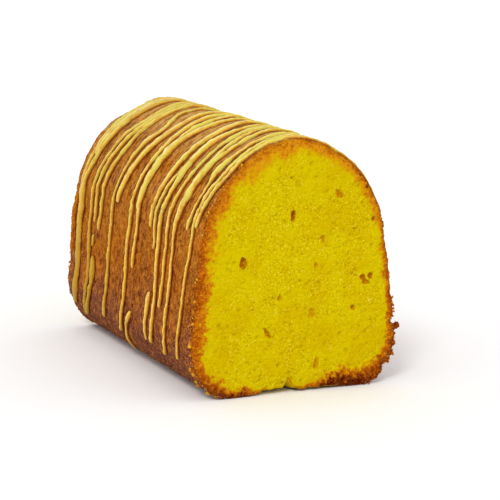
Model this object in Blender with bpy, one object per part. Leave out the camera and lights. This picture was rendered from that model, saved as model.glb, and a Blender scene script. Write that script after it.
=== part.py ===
"""Sea buckthorn cake: an arched loaf cut square at both ends, with threads of icing poured across it.

The loaf lies along Y, its shown cut face towards -Y, on a flat base at Z = 0. Its crust is a lofted skin
with low relief. The icing threads and the crumbs at the rims are fused to it by one Boolean union, and
the larger holes of the crumb are cut into its faces.
"""

import math
import random

import bmesh
import bpy
import numpy as np
from mathutils import Vector, noise

MM = 0.001

# The loaf's section: a flat base, rounded lower corners, sides that lean in and a domed top.
LOAF_LENGTH = 134.5 * MM
LOAF_HEIGHT = 92.0 * MM
BASE_HALF_WIDTH = 24.7 * MM
WIDEST_HALF_WIDTH = 40.0 * MM
WIDEST_HEIGHT = 20.9 * MM
SHOULDER_HALF_WIDTH = 35.8 * MM
SHOULDER_HEIGHT = 54.3 * MM
DOME_FULLNESS = 1.775
CORE_HEIGHT = 0.45 * LOAF_HEIGHT

# Mesh density.
OUTLINE_SAMPLES = 400
ARCH_STEPS = 46
BASE_STEPS = 8
LENGTH_STEPS = 16
FACE_RINGS = (0.96, 0.66, 0.33)

# Relief of the baked crust and of the cut crumb.
CRUST_RELIEF = 0.55 * MM
CRUST_GRAIN = 17.0 * MM
CRUMB_RELIEF = 0.35 * MM
CRUMB_GRAIN = 7.0 * MM
RELIEF_STARTS = 3.0 * MM
RELIEF_FULL = 16.0 * MM

# The base's edge at the shown face is worn: (place along X, height lost).
WORN_EDGE = ((-17, 0.0), (-12, 2.2), (-5, 2.3), (1, 2.2), (5, 1.0), (17, 0.6), (22, 0.0))

# The far rim falls short at one shoulder: (place along the arch, length lost), and sinks in by a share.
FAR_RIM = ((94, 0.0), (101, 2.2), (105, 3.2), (109, 2.8), (116, 0.0))
FAR_RIM_SINK = 0.3

# Holes of the crumb: (X, Z, half width, half height, depth, lean in degrees).
FRONT_HOLES = (
    (-0.8, 65.0, 1.1, 2.8, 2.0, 4),
    (-19.9, 48.1, 1.7, 2.6, 2.2, -8),
    (28.2, 39.2, 2.3, 2.0, 2.0, 30),
    (17.5, 71.2, 1.2, 1.3, 1.4, 0),
    (23.1, 28.9, 1.0, 1.0, 1.2, 0),
    (-10.4, 22.7, 0.9, 1.9, 1.3, -35),
    (8.5, 9.2, 1.0, 3.0, 1.8, 6),
    (6.8, 28.5, 2.0, 1.6, 0.8, 15),
    (31.2, 61.0, 0.8, 1.3, 1.3, 20),
)
BASE_NOTCH = (-2.2, 0.4, 2.0, 5.0, 3.0, 0)
BACK_HOLES = (
    (14.0, 58.0, 1.4, 2.4, 1.8, 12),
    (-9.0, 70.5, 1.2, 1.6, 1.5, 0),
    (-22.5, 33.0, 1.9, 2.3, 2.0, -20),
    (3.5, 39.0, 1.1, 2.7, 1.6, 8),
    (24.0, 22.0, 1.5, 1.2, 1.3, 0),
    (-6.0, 13.5, 1.0, 2.4, 1.5, -12),
)

# Crumbs that stand out of the rims: (X, distance from the shown face, Z, radius).
RIM_CRUMBS = (
    (38.7, 0.9, 28.9, 1.6),
    (39.5, 1.0, 20.3, 1.4),
    (39.0, 1.5, 15.4, 1.8),
    (37.2, 1.0, 10.8, 1.9),
    (33.4, 1.3, 6.2, 1.9),
    (29.2, 1.0, 2.8, 1.5),
    (-29.5, 1.0, 2.4, 1.3),
    (-37.6, 1.0, 10.4, 1.2),
    (-38.6, 133.6, 27.5, 1.3),
    (-38.9, 133.5, 15.0, 1.2),
    (-36.3, 133.6, 46.0, 1.3),
    (-31.6, 133.5, 66.0, 1.4),
    (38.6, 133.5, 24.0, 1.3),
    (35.8, 133.6, 50.5, 1.3),
    (27.8, 133.6, 73.0, 1.3),
)

# Icing. Places along the arch are in millimetres from the left foot, up over the ridge.
RIDGE = 118.7
THREAD_STEP = 6.6 * MM
THREAD_SINK = 0.7 * MM
THREAD_LIFT = 0.3
THREAD_BASE_LIFT = 0.28 * MM
THREAD_MAX_LIFT = 1.35 * MM
TIP_TAPER = 0.55
FAR_SIDE_SEED = 41
FAR_SIDE_ENDS = (18.0, 78.0)
FAR_SIDE_LEAN = 5.0
FAR_SIDE_WIDTH = 0.8

# How far all threads drift along the loaf as they run down: (place along the arch, drift).
DRIFT = (
    (8, 12.5), (14, 9.4), (17, 7.3), (20, 5.1), (23, 3.4), (27, 1.3), (31, 0.4), (36, 0.4), (40, 0.9),
    (45, 1.7), (50, 2.5), (54, 2.9), (58, 2.4), (62, 3.0), (66, 2.5), (69, 3.2), (72, 2.5), (76, 1.9),
    (80, 1.2), (85, 0.5), (90, 0.0),
)

# Each thread: (place along the arch, distance from the shown face before the drift, width).
THREADS = {
    "a1": ((RIDGE, 1.8, 2.0), (90, 3.7, 1.8), (69, 4.9, 1.5)),
    "a2": ((RIDGE, 4.6, 2.3), (90, 6.8, 2.0), (52, 8.5, 1.3), (40, 10.9, 1.3), (20, 10.4, 1.3)),
    "b": ((RIDGE, 10.0, 2.5), (98, 11.7, 2.1), (91, 13.2, 3.6), (86, 11.6, 2.0), (67, 12.3, 1.5)),
    "d2": ((RIDGE, 19.0, 2.4), (101, 18.6, 2.1), (93, 21.2, 1.7)),
    "d1": ((RIDGE, 27.4, 2.2), (111, 23.4, 2.2), (100, 22.7, 2.4), (92, 22.0, 3.7), (71, 22.3, 3.5),
           (65, 23.0, 1.7), (50, 23.3, 1.5), (38, 25.2, 1.5), (18.5, 23.4, 1.5)),
    "e": ((123, 31.4, 1.8), (115, 29.4, 2.6), (108, 28.3, 3.0), (102, 28.3, 1.9), (80, 29.6, 1.8),
          (50, 30.4, 1.5), (35.5, 32.2, 1.4)),
    "f": ((RIDGE, 35.0, 1.8), (111, 35.2, 2.4), (105, 37.0, 4.6), (92, 38.1, 4.2), (80, 37.3, 2.8),
          (60, 37.9, 2.1), (40, 37.3, 1.8), (20.5, 36.9, 1.7)),
    "g": ((89, 39.6, 1.5), (80, 41.8, 1.5), (55, 42.4, 1.4)),
    "h": ((RIDGE, 44.5, 3.8), (105, 43.9, 3.8), (98, 45.8, 3.2), (80, 46.5, 2.6), (62.5, 46.3, 2.0)),
    "j1": ((RIDGE, 55.0, 3.4), (106, 56.2, 3.4), (100, 58.6, 3.6), (95, 61.6, 5.2), (82, 63.0, 4.3),
           (71, 62.2, 3.4), (65, 60.9, 1.8), (53, 60.8, 1.7), (44.5, 62.3, 1.7)),
    "j2": ((123, 62.4, 1.9), (112, 61.0, 2.6), (104, 61.6, 3.0), (95, 62.0, 3.0)),
    "k": ((RIDGE, 67.0, 3.1), (108, 67.2, 3.1), (90, 68.7, 2.1), (70, 68.6, 1.8), (50, 68.7, 1.8),
          (18, 69.3, 1.7)),
    "l": ((RIDGE, 77.0, 3.5), (105, 75.5, 3.6), (90, 80.0, 3.6), (66, 83.1, 3.2)),
    "m": ((RIDGE, 88.5, 1.8), (109, 87.6, 1.8), (101, 83.5, 2.2), (91, 87.6, 3.0), (84, 88.3, 1.8),
          (60, 88.3, 1.7), (19.5, 89.2, 1.7)),
    "n": ((RIDGE, 97.0, 2.8), (106, 97.1, 2.9), (90, 100.0, 2.3), (70, 100.7, 1.9), (52, 101.6, 1.8)),
    "o1": ((RIDGE, 106.2, 2.6), (101, 105.8, 2.6), (93, 109.6, 2.4), (80, 110.8, 1.9), (60, 112.4, 1.8),
           (40, 110.9, 1.8), (14.5, 112.3, 1.7)),
    "o2": ((RIDGE, 101.6, 2.6), (101, 101.6, 2.6), (91, 105.4, 2.3), (75, 106.9, 1.9), (54.5, 106.9, 1.8)),
    "o3": ((50, 107.0, 1.6), (45, 107.8, 1.6)),
    "p": ((41.5, 106.9, 2.0), (38.5, 106.4, 3.0), (27, 107.0, 1.8), (15.5, 110.8, 1.6)),
    "q1": ((RIDGE, 124.4, 3.4), (97, 125.6, 3.0), (73, 125.2, 3.0), (65, 124.3, 4.6), (40, 124.6, 4.4),
           (25, 123.7, 3.8), (18.5, 125.0, 2.4)),
    "q2": ((110, 118.7, 3.0), (94, 119.5, 2.8), (80, 120.8, 2.4), (66, 123.2, 2.4)),
    "pool": ((RIDGE, 120.2, 8.5), (108, 120.6, 8.2), (98, 122.0, 6.6), (88, 122.8, 4.2), (80, 123.2, 2.2)),
    "r": ((28.5, 60.4, 2.8), (24.5, 62.7, 1.8), (9, 62.4, 1.5)),
    "s": ((39.5, 42.9, 2.8), (34, 43.8, 2.6), (26, 43.8, 1.5), (20.5, 42.2, 1.2)),
}


def clear_objects() -> None:
    """Remove what the file already holds."""
    for existing in list(bpy.data.objects):
        bpy.data.objects.remove(existing, do_unlink=True)


def crust_material() -> bpy.types.Material:
    """Caramel brown baked crust."""
    material = bpy.data.materials.new("crust")
    material.use_nodes = True
    shader = material.node_tree.nodes["Principled BSDF"]
    shader.inputs["Base Color"].default_value = (0.36, 0.13, 0.03, 1.0)
    shader.inputs["Roughness"].default_value = 0.55
    shader.inputs["Metallic"].default_value = 0.0
    return material


def half_outline() -> np.ndarray:
    """Right half of the section as (x, z) rows, from the ridge down to the foot."""
    turn = np.linspace(0.0, math.pi / 2, OUTLINE_SAMPLES)
    power = 2.0 / DOME_FULLNESS
    dome_rise = LOAF_HEIGHT - SHOULDER_HEIGHT
    dome = np.column_stack((
        SHOULDER_HALF_WIDTH * np.sin(turn) ** power,
        SHOULDER_HEIGHT + dome_rise * np.clip(np.cos(turn), 0.0, 1.0) ** power,
    ))
    corner = np.column_stack((
        BASE_HALF_WIDTH + (WIDEST_HALF_WIDTH - BASE_HALF_WIDTH) * np.cos(turn),
        WIDEST_HEIGHT * (1.0 - np.sin(turn)),
    ))
    return np.vstack((dome, corner))


RIGHT_HALF = half_outline()
ARCH = np.vstack((RIGHT_HALF[::-1] * (-1.0, 1.0), RIGHT_HALF[1:]))
ARCH_LENGTHS = np.concatenate(([0.0], np.cumsum(np.hypot(*np.diff(ARCH, axis=0).T))))
ARCH_LENGTH = float(ARCH_LENGTHS[-1])


def outline_point(along: float) -> tuple[float, float]:
    """Point (x, z) of the arch at a length from the left foot, both in metres."""
    x = np.interp(along, ARCH_LENGTHS, ARCH[:, 0])
    z = np.interp(along, ARCH_LENGTHS, ARCH[:, 1])
    return float(x), float(z)


def outline_normal(along: float) -> Vector:
    """Outward normal of the arch at a length from the left foot."""
    reach = 1.5 * MM
    x0, z0 = outline_point(max(along - reach, 0.0))
    x1, z1 = outline_point(min(along + reach, ARCH_LENGTH))
    return Vector((z0 - z1, 0.0, x1 - x0)).normalized()


def skin_point(along: float, y: float) -> Vector:
    """Point of the crust, with its low relief, which fades out towards the base."""
    x, z = outline_point(along)
    fade = min(max((z - RELIEF_STARTS) / (RELIEF_FULL - RELIEF_STARTS), 0.0), 1.0)
    smooth = Vector((x, y, z))
    swell = CRUST_RELIEF * fade * noise.noise(smooth / CRUST_GRAIN)
    return smooth + outline_normal(along) * swell


def table_value(table: tuple, at: float) -> float:
    """Value of a short table of (place, value) in millimetres, straight between its rows, in metres."""
    places, values = zip(*table)
    return float(np.interp(at / MM, places, values)) * MM


def loaf_ring(part: float) -> list[Vector]:
    """One closed ring of the loaf; part runs from 0 at the shown face to 1 at the far one."""
    ring = []
    for step in range(ARCH_STEPS + 1):
        along = ARCH_LENGTH * step / ARCH_STEPS
        short = table_value(FAR_RIM, along)
        point = skin_point(along, part * (LOAF_LENGTH - short))
        if part == 1.0:
            point -= outline_normal(along) * (FAR_RIM_SINK * short)
        ring.append(point)
    for step in range(1, BASE_STEPS):
        x = BASE_HALF_WIDTH * (1.0 - 2.0 * step / BASE_STEPS)
        lost = table_value(WORN_EDGE, x) if part == 0.0 else 0.0
        ring.append(Vector((x, part * LOAF_LENGTH, lost)))
    return ring


def face_ring(rim: list[Vector], scale: float, y: float) -> list[Vector]:
    """A ring of the cut face: the rim drawn in towards the loaf's core, on the uneven plane of the cut."""
    ring = []
    for point in rim:
        x = point.x * scale
        z = CORE_HEIGHT + (point.z - CORE_HEIGHT) * scale
        uneven = CRUMB_RELIEF * noise.noise(Vector((x, y, z)) / CRUMB_GRAIN)
        ring.append(Vector((x, y + uneven, z)))
    return ring


def bridge(mesh: bmesh.types.BMesh, first: list, second: list) -> None:
    """Join two closed rings of vertices of one length by four-sided faces."""
    count = len(first)
    for index in range(count):
        after = (index + 1) % count
        mesh.faces.new((first[index], first[after], second[after], second[index]))


def object_from(mesh: bmesh.types.BMesh, name: str, collection: bpy.types.Collection) -> bpy.types.Object:
    """Turn a bmesh into an outward-facing mesh object of a collection."""
    bmesh.ops.recalc_face_normals(mesh, faces=mesh.faces)
    data = bpy.data.meshes.new(name)
    mesh.to_mesh(data)
    mesh.free()
    made = bpy.data.objects.new(name, data)
    collection.objects.link(made)
    return made


def make_loaf() -> bpy.types.Object:
    """The loaf itself: rings from face to face, closed by two uneven cut faces."""
    rims = [loaf_ring(step / LENGTH_STEPS) for step in range(LENGTH_STEPS + 1)]
    front = [face_ring(rims[0], scale, 0.0) for scale in reversed(FACE_RINGS)]
    back = [face_ring(rims[-1], scale, LOAF_LENGTH) for scale in FACE_RINGS]
    mesh = bmesh.new()
    rings = [[mesh.verts.new(point) for point in ring] for ring in front + rims + back]
    for first, second in zip(rings, rings[1:]):
        bridge(mesh, first, second)
    for ring, y in ((rings[0], 0.0), (rings[-1], LOAF_LENGTH)):
        core = mesh.verts.new((0.0, y, CORE_HEIGHT))
        for index, vertex in enumerate(ring):
            mesh.faces.new((vertex, ring[(index + 1) % len(ring)], core))
    return object_from(mesh, "cake", bpy.context.scene.collection)


def smooth_value(rows: list, column: int, at: float) -> float:
    """Value of one column of a thread's rows at a place along the arch, on a smooth curve through them."""
    places = [row[0] for row in rows]
    values = [row[column] for row in rows]
    slopes = np.gradient(values, places)
    index = min(max(int(np.searchsorted(places, at)) - 1, 0), len(rows) - 2)
    span = places[index + 1] - places[index]
    part = min(max((at - places[index]) / span, 0.0), 1.0)
    rise = values[index + 1] - values[index]
    bend0 = slopes[index] * span - rise
    bend1 = rise - slopes[index + 1] * span
    eased = part * (1.0 - part) * (bend0 * (1.0 - part) + bend1 * part)
    return values[index] + rise * part + eased


def thread_stations(rows: tuple, mirrored: bool) -> list[tuple[float, float, float]]:
    """Places down one side of the loaf as (along the arch, y, width), in metres."""
    rising = sorted(rows)
    low, high = rising[0][0], rising[-1][0]
    count = max(math.ceil((high - low) * MM / THREAD_STEP), 2)
    stations = []
    for step in range(count + 1):
        at = high + (low - high) * step / count
        y = smooth_value(rising, 1, at) * MM + table_value(DRIFT, at * MM)
        along = at * MM
        stations.append((ARCH_LENGTH - along if mirrored else along, y, smooth_value(rising, 2, at) * MM))
    return stations


def far_side_rows(top: tuple, draw: random.Random) -> tuple:
    """How a thread that crosses the ridge runs on down the side away from its traced half."""
    _, y, width = top
    end = draw.uniform(*FAR_SIDE_ENDS)
    lean = draw.uniform(-FAR_SIDE_LEAN, FAR_SIDE_LEAN)
    middle = (RIDGE + end) / 2
    thin = max(width * FAR_SIDE_WIDTH, 1.5)
    low_y = min(max(y + lean, 2.5), 126.0)
    return (top, (middle, (y + low_y) / 2 + draw.uniform(-1, 1), thin), (end, low_y, 1.5))


def thread_section(along: float, y: float, width: float, scale: float, heading: Vector) -> list[Vector]:
    """Six points round a thread: a low rounded ridge whose sides go down into the crust."""
    normal = outline_normal(along)
    across = heading.cross(normal).normalized()
    lift = min(THREAD_BASE_LIFT + THREAD_LIFT * width, THREAD_MAX_LIFT) * scale
    half = 0.5 * width * scale
    centre = skin_point(along, y)
    shape = ((-1.0, None), (-0.96, 0.35), (-0.42, 1.0), (0.42, 1.0), (0.96, 0.35), (1.0, None))
    return [
        centre + across * (half * side) + normal * (-THREAD_SINK if rise is None else lift * rise)
        for side, rise in shape
    ]


def make_thread(name: str, stations: list, collection: bpy.types.Collection) -> None:
    """One thread of icing as a closed tube, half sunk in the crust."""
    centres = [skin_point(along, y) for along, y, _ in stations]
    mesh = bmesh.new()
    rings = []
    last = len(stations) - 1
    for index, (along, y, width) in enumerate(stations):
        heading = centres[min(index + 1, last)] - centres[max(index - 1, 0)]
        scale = TIP_TAPER if index in (0, last) else 1.0
        section = thread_section(along, y, width, scale, heading)
        rings.append([mesh.verts.new(point) for point in section])
    for first, second in zip(rings, rings[1:]):
        bridge(mesh, first, second)
    mesh.faces.new(rings[0])
    mesh.faces.new(reversed(rings[-1]))
    object_from(mesh, name, collection)


def make_threads(collection: bpy.types.Collection) -> None:
    """All threads. One that starts on the ridge crosses it and runs down the other side too."""
    draw = random.Random(FAR_SIDE_SEED)
    for name, rows in THREADS.items():
        stations = thread_stations(rows, mirrored=False)
        if rows[0][0] == RIDGE:
            other = thread_stations(far_side_rows(rows[0], draw), mirrored=True)
            stations = list(reversed(other)) + stations[1:]
        make_thread(f"icing_{name}", stations, collection)


def make_lump(name: str, centre: Vector, radii: Vector, lean: float, collection: bpy.types.Collection,
              detail: int = 1) -> bpy.types.Object:
    """A small faceted ball, drawn out to its three radii and leant over in the plane of the cut."""
    mesh = bmesh.new()
    bmesh.ops.create_icosphere(mesh, subdivisions=detail, radius=1.0)
    turn_cos, turn_sin = math.cos(lean), math.sin(lean)
    for vertex in mesh.verts:
        stretched = Vector(a * b for a, b in zip(vertex.co, radii))
        x = stretched.x * turn_cos + stretched.z * turn_sin
        z = stretched.z * turn_cos - stretched.x * turn_sin
        vertex.co = centre + Vector((x, stretched.y, z))
    return object_from(mesh, name, collection)


def make_rim_crumbs(collection: bpy.types.Collection) -> None:
    """Crumbs that cling to the rims of the two cuts."""
    for index, (x, y, z, radius) in enumerate(RIM_CRUMBS):
        radii = Vector((radius, 0.8 * radius, 1.15 * radius)) * MM
        make_lump(f"crumb_{index}", Vector((x, y, z)) * MM, radii, 0.5 * index, collection)


def make_hole_cutters(collection: bpy.types.Collection) -> None:
    """Cutters for the larger holes of both cut faces and for the notch in the worn edge."""
    cuts = [(hole, 0.0) for hole in FRONT_HOLES + (BASE_NOTCH,)]
    cuts += [(hole, LOAF_LENGTH) for hole in BACK_HOLES]
    for index, ((x, z, half_width, half_height, depth, lean), y) in enumerate(cuts):
        centre = Vector((x * MM, y, z * MM))
        radii = Vector((half_width, depth, half_height)) * MM
        cutter = make_lump(f"hole_{index}", centre, radii, math.radians(lean), collection, detail=2)
        cutter.hide_render = True
        cutter.display_type = "WIRE"


def apply_boolean(target: bpy.types.Object, operation: str, tools: bpy.types.Collection) -> None:
    """Join or cut the target by all objects of a collection, then remove them."""
    modifier = target.modifiers.new(operation.lower(), "BOOLEAN")
    modifier.operation = operation
    modifier.solver = "EXACT"
    modifier.operand_type = "COLLECTION"
    modifier.collection = tools
    evaluated = target.evaluated_get(bpy.context.evaluated_depsgraph_get())
    result = bpy.data.meshes.new_from_object(evaluated)
    target.modifiers.remove(modifier)
    before = target.data
    target.data = result
    bpy.data.meshes.remove(before)
    for tool in list(tools.objects):
        bpy.data.objects.remove(tool, do_unlink=True)
    bpy.data.collections.remove(tools)


def tool_collection(name: str) -> bpy.types.Collection:
    """A new collection in the scene."""
    collection = bpy.data.collections.new(name)
    bpy.context.scene.collection.children.link(collection)
    return collection


def centre_lengthwise(cake: bpy.types.Object) -> None:
    """Move the cake so that the origin lies under the middle of its length."""
    for vertex in cake.data.vertices:
        vertex.co.y -= LOAF_LENGTH / 2


def main() -> None:
    """Build the cake."""
    clear_objects()
    cake = make_loaf()
    additions = tool_collection("additions")
    make_threads(additions)
    make_rim_crumbs(additions)
    apply_boolean(cake, "UNION", additions)
    cuts = tool_collection("cuts")
    make_hole_cutters(cuts)
    apply_boolean(cake, "DIFFERENCE", cuts)
    centre_lengthwise(cake)
    cake.data.materials.clear()
    cake.data.materials.append(crust_material())
    cake.data.shade_smooth()
    cake.data.set_sharp_from_angle(angle=math.radians(35))


main()
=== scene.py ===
"""Looks of the sea buckthorn cake: crust, two crumbly cut faces, poured icing, syrup and loose crumbs.

The loaf is shaped in its own frame, with Y = 0 at the shown cut face, and each finished piece is moved
back by half the loaf's length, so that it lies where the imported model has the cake.
"""

from __future__ import annotations

import logging
import math
import random
from dataclasses import dataclass
from enum import Enum
from functools import cached_property

import bpy
import numpy as np
from mathutils import Euler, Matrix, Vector, noise
from mathutils.kdtree import KDTree


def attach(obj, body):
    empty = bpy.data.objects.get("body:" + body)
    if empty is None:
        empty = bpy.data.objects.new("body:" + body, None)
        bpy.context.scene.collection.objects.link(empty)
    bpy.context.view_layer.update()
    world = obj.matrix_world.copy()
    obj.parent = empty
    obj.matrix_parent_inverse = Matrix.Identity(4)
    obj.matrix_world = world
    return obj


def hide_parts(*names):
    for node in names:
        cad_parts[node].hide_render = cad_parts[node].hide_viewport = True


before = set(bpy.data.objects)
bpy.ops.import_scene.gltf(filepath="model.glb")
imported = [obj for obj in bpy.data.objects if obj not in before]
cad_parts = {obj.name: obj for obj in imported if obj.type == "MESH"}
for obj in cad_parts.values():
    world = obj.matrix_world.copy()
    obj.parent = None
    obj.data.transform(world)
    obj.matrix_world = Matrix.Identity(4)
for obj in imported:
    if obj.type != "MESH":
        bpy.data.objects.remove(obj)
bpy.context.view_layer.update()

MM = 0.001
NODE = "cake"
BODY = "root"
LENGTH_MM = 134.5
LOAF_LENGTH = LENGTH_MM * MM

Colour = tuple[float, float, float, float]
Span = tuple[float, float]
Swells = tuple[Span, ...]
Rows = tuple[tuple[float, ...], ...]
Stops = tuple[tuple[float, Colour], ...]


class Slot(Enum):
    """The record's material slots."""

    CRUST = "crust"
    CRUMB = "crumb"
    ICING = "icing"


class End(Enum):
    """The loaf's two cut ends."""

    SHOWN = "shown"
    FAR = "far"


def srgb(red: int, green: int, blue: int) -> Colour:
    """Linear colour of an 8-bit one.

    Args:
        red: Red, 0 to 255.
        green: Green, 0 to 255.
        blue: Blue, 0 to 255.

    Returns:
        The linear colour with full alpha.
    """
    parts = [part / 255.0 for part in (red, green, blue)]
    linear = [part / 12.92 if part <= 0.04045 else ((part + 0.055) / 1.055) ** 2.4 for part in parts]
    return (linear[0], linear[1], linear[2], 1.0)


def from_rows(rows: Rows, column: int, at: np.ndarray) -> np.ndarray:
    """Read one column of a table whose first column is the place, straight between its rows.

    Args:
        rows: Rows in millimetres, by rising place.
        column: The column to read.
        at: Places, in metres.

    Returns:
        The column's values at those places, in the table's own unit.
    """
    table = np.array(rows)
    return np.interp(at / MM, table[:, 0], table[:, column])


def noise_at(points: np.ndarray, grain: float, offset: float = 0.0) -> np.ndarray:
    """Smooth noise of about -1 to 1 at many points.

    Args:
        points: Points as rows of x, y, z in metres.
        grain: Size of one swell, in metres.
        offset: Shift along the noise's X, which gives another pattern.

    Returns:
        One value for each point.
    """
    scaled = points / grain
    scaled[:, 0] += offset
    return np.array([noise.noise(point) for point in scaled.tolist()])


# --------------------------------------------------------------------------------------------------------
# Materials
# --------------------------------------------------------------------------------------------------------


class Socket:
    """A node's output, on which arithmetic adds Math nodes."""

    def __init__(self, graph: "Graph", output: bpy.types.NodeSocket) -> None:
        """Wrap an output of a graph's node."""
        self.graph = graph
        self.output = output

    def _math(self, operation: str, first: "Socket | float", second: "Socket | float") -> "Socket":
        """Add one Math node and return its result."""
        return self.graph.node("ShaderNodeMath", {"operation": operation}, {0: first, 1: second})

    def __add__(self, other: "Socket | float") -> "Socket":
        """Return self + other."""
        return self._math("ADD", self, other)

    __radd__ = __add__

    def __sub__(self, other: "Socket | float") -> "Socket":
        """Return self - other."""
        return self._math("SUBTRACT", self, other)

    def __rsub__(self, other: "Socket | float") -> "Socket":
        """Return other - self."""
        return self._math("SUBTRACT", other, self)

    def __mul__(self, other: "Socket | float") -> "Socket":
        """Return self * other."""
        return self._math("MULTIPLY", self, other)

    __rmul__ = __mul__

    def above(self, low: float, high: float) -> "Socket":
        """Return 0 below low, 1 above high and a smooth step between them.

        Args:
            low: Where the step starts.
            high: Where it ends; below low, the step falls.

        Returns:
            The step.
        """
        return self.graph.node(
            "ShaderNodeMapRange",
            {"interpolation_type": "SMOOTHSTEP", "clamp": True},
            {"Value": self, "From Min": low, "From Max": high},
        )


class Graph:
    """A material's node tree, written as expressions."""

    def __init__(self, name: str) -> None:
        """Start a material with a Principled shader only.

        Args:
            name: The material's name.
        """
        self.material = bpy.data.materials.new(name)
        self.material.use_nodes = True
        self.tree = self.material.node_tree
        self.shader = self.tree.nodes["Principled BSDF"]

    def node(self, kind: str, settings: dict[str, object], inputs: dict[int | str, object],
             output: int | str = 0) -> Socket:
        """Add a node.

        Args:
            kind: The node's type.
            settings: The node's own properties; a ramp's stops are given as "stops".
            inputs: Values or links of its sockets, by name or number.
            output: The output to return.

        Returns:
            The wrapped output.
        """
        made = self.tree.nodes.new(kind)
        for key, value in settings.items():
            if key == "stops":
                self._set_stops(made.color_ramp, value)
            else:
                setattr(made, key, value)
        for key, value in inputs.items():
            if isinstance(value, Socket):
                self.tree.links.new(value.output, made.inputs[key])
            else:
                made.inputs[key].default_value = value
        return Socket(self, made.outputs[output])

    @staticmethod
    def _set_stops(ramp: bpy.types.ColorRamp, stops: Stops) -> None:
        """Give a colour ramp its (place, colour) stops.

        Args:
            ramp: The ramp.
            stops: Its stops, by rising place.
        """
        while len(ramp.elements) < len(stops):
            ramp.elements.new(1.0)
        for element, (place, colour) in zip(ramp.elements, stops):
            element.position = place
            element.color = colour

    def place(self) -> Socket:
        """Object coordinates."""
        return self.node("ShaderNodeTexCoord", {}, {}, "Object")

    def surface(self) -> Socket:
        """The piece's own UV map, which follows its skin."""
        return self.node("ShaderNodeUVMap", {"uv_map": "skin"}, {})

    def attribute(self, name: str) -> Socket:
        """A number stored on the piece's points."""
        return self.node("ShaderNodeAttribute", {"attribute_name": name}, {}, "Fac")

    def height(self) -> Socket:
        """Height above the base, in metres."""
        return self.node("ShaderNodeSeparateXYZ", {}, {0: self.place()}, "Z")

    def length(self) -> Socket:
        """Place along the loaf from its middle, in metres."""
        return self.node("ShaderNodeSeparateXYZ", {}, {0: self.place()}, "Y")

    def stretched(self, vector: Socket, scale: tuple[float, float, float]) -> Socket:
        """Coordinates drawn out or squeezed along their axes."""
        return self.node("ShaderNodeMapping", {}, {"Vector": vector, "Scale": scale})

    def noise(self, vector: Socket, scale: float, detail: float = 3.0, roughness: float = 0.5) -> Socket:
        """Noise of 0 to 1 whose swells are 1 / scale metres wide."""
        inputs = {"Vector": vector, "Scale": scale, "Detail": detail, "Roughness": roughness}
        return self.node("ShaderNodeTexNoise", {}, inputs)

    def cells(self, vector: Socket, scale: float) -> Socket:
        """Distance from the middle of the nearest of many cells."""
        return self.node("ShaderNodeTexVoronoi", {}, {"Vector": vector, "Scale": scale}, "Distance")

    def ramp(self, factor: Socket, stops: Stops) -> Socket:
        """Colour of a number, by stops of (place, colour)."""
        return self.node("ShaderNodeValToRGB", {"stops": stops}, {"Fac": factor})

    def blend(self, factor: Socket | float, first: object, second: object, how: str = "MIX") -> Socket:
        """Mix two colours."""
        settings = {"data_type": "RGBA", "blend_type": how, "clamp_factor": True}
        return self.node("ShaderNodeMix", settings, {0: factor, 6: first, 7: second}, 2)

    def layers(self, tone: Socket, *layers: tuple) -> Socket:
        """Lay colours over a first one, in order.

        Args:
            tone: The first colour.
            *layers: Each one's mask and colour, and how it mixes where it doesn't just cover.

        Returns:
            The colour with its layers.
        """
        for mask, colour, *how in layers:
            tone = self.blend(mask, tone, colour, *how)
        return tone

    def bump(self, height: Socket, distance: float, strength: float) -> Socket:
        """Normal of a surface raised by a height of 0 to 1, times the distance in metres."""
        inputs = {"Height": height, "Distance": distance, "Strength": strength}
        return self.node("ShaderNodeBump", {}, inputs)

    def finish(self, **sockets: object) -> bpy.types.Material:
        """Set the shader's sockets, named with underscores for spaces.

        Args:
            **sockets: Values or links of the Principled shader.

        Returns:
            The finished material.
        """
        for key, value in sockets.items():
            target = self.shader.inputs[key.replace("_", " ")]
            if isinstance(value, Socket):
                self.tree.links.new(value.output, target)
            else:
                target.default_value = value
        return self.material


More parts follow.
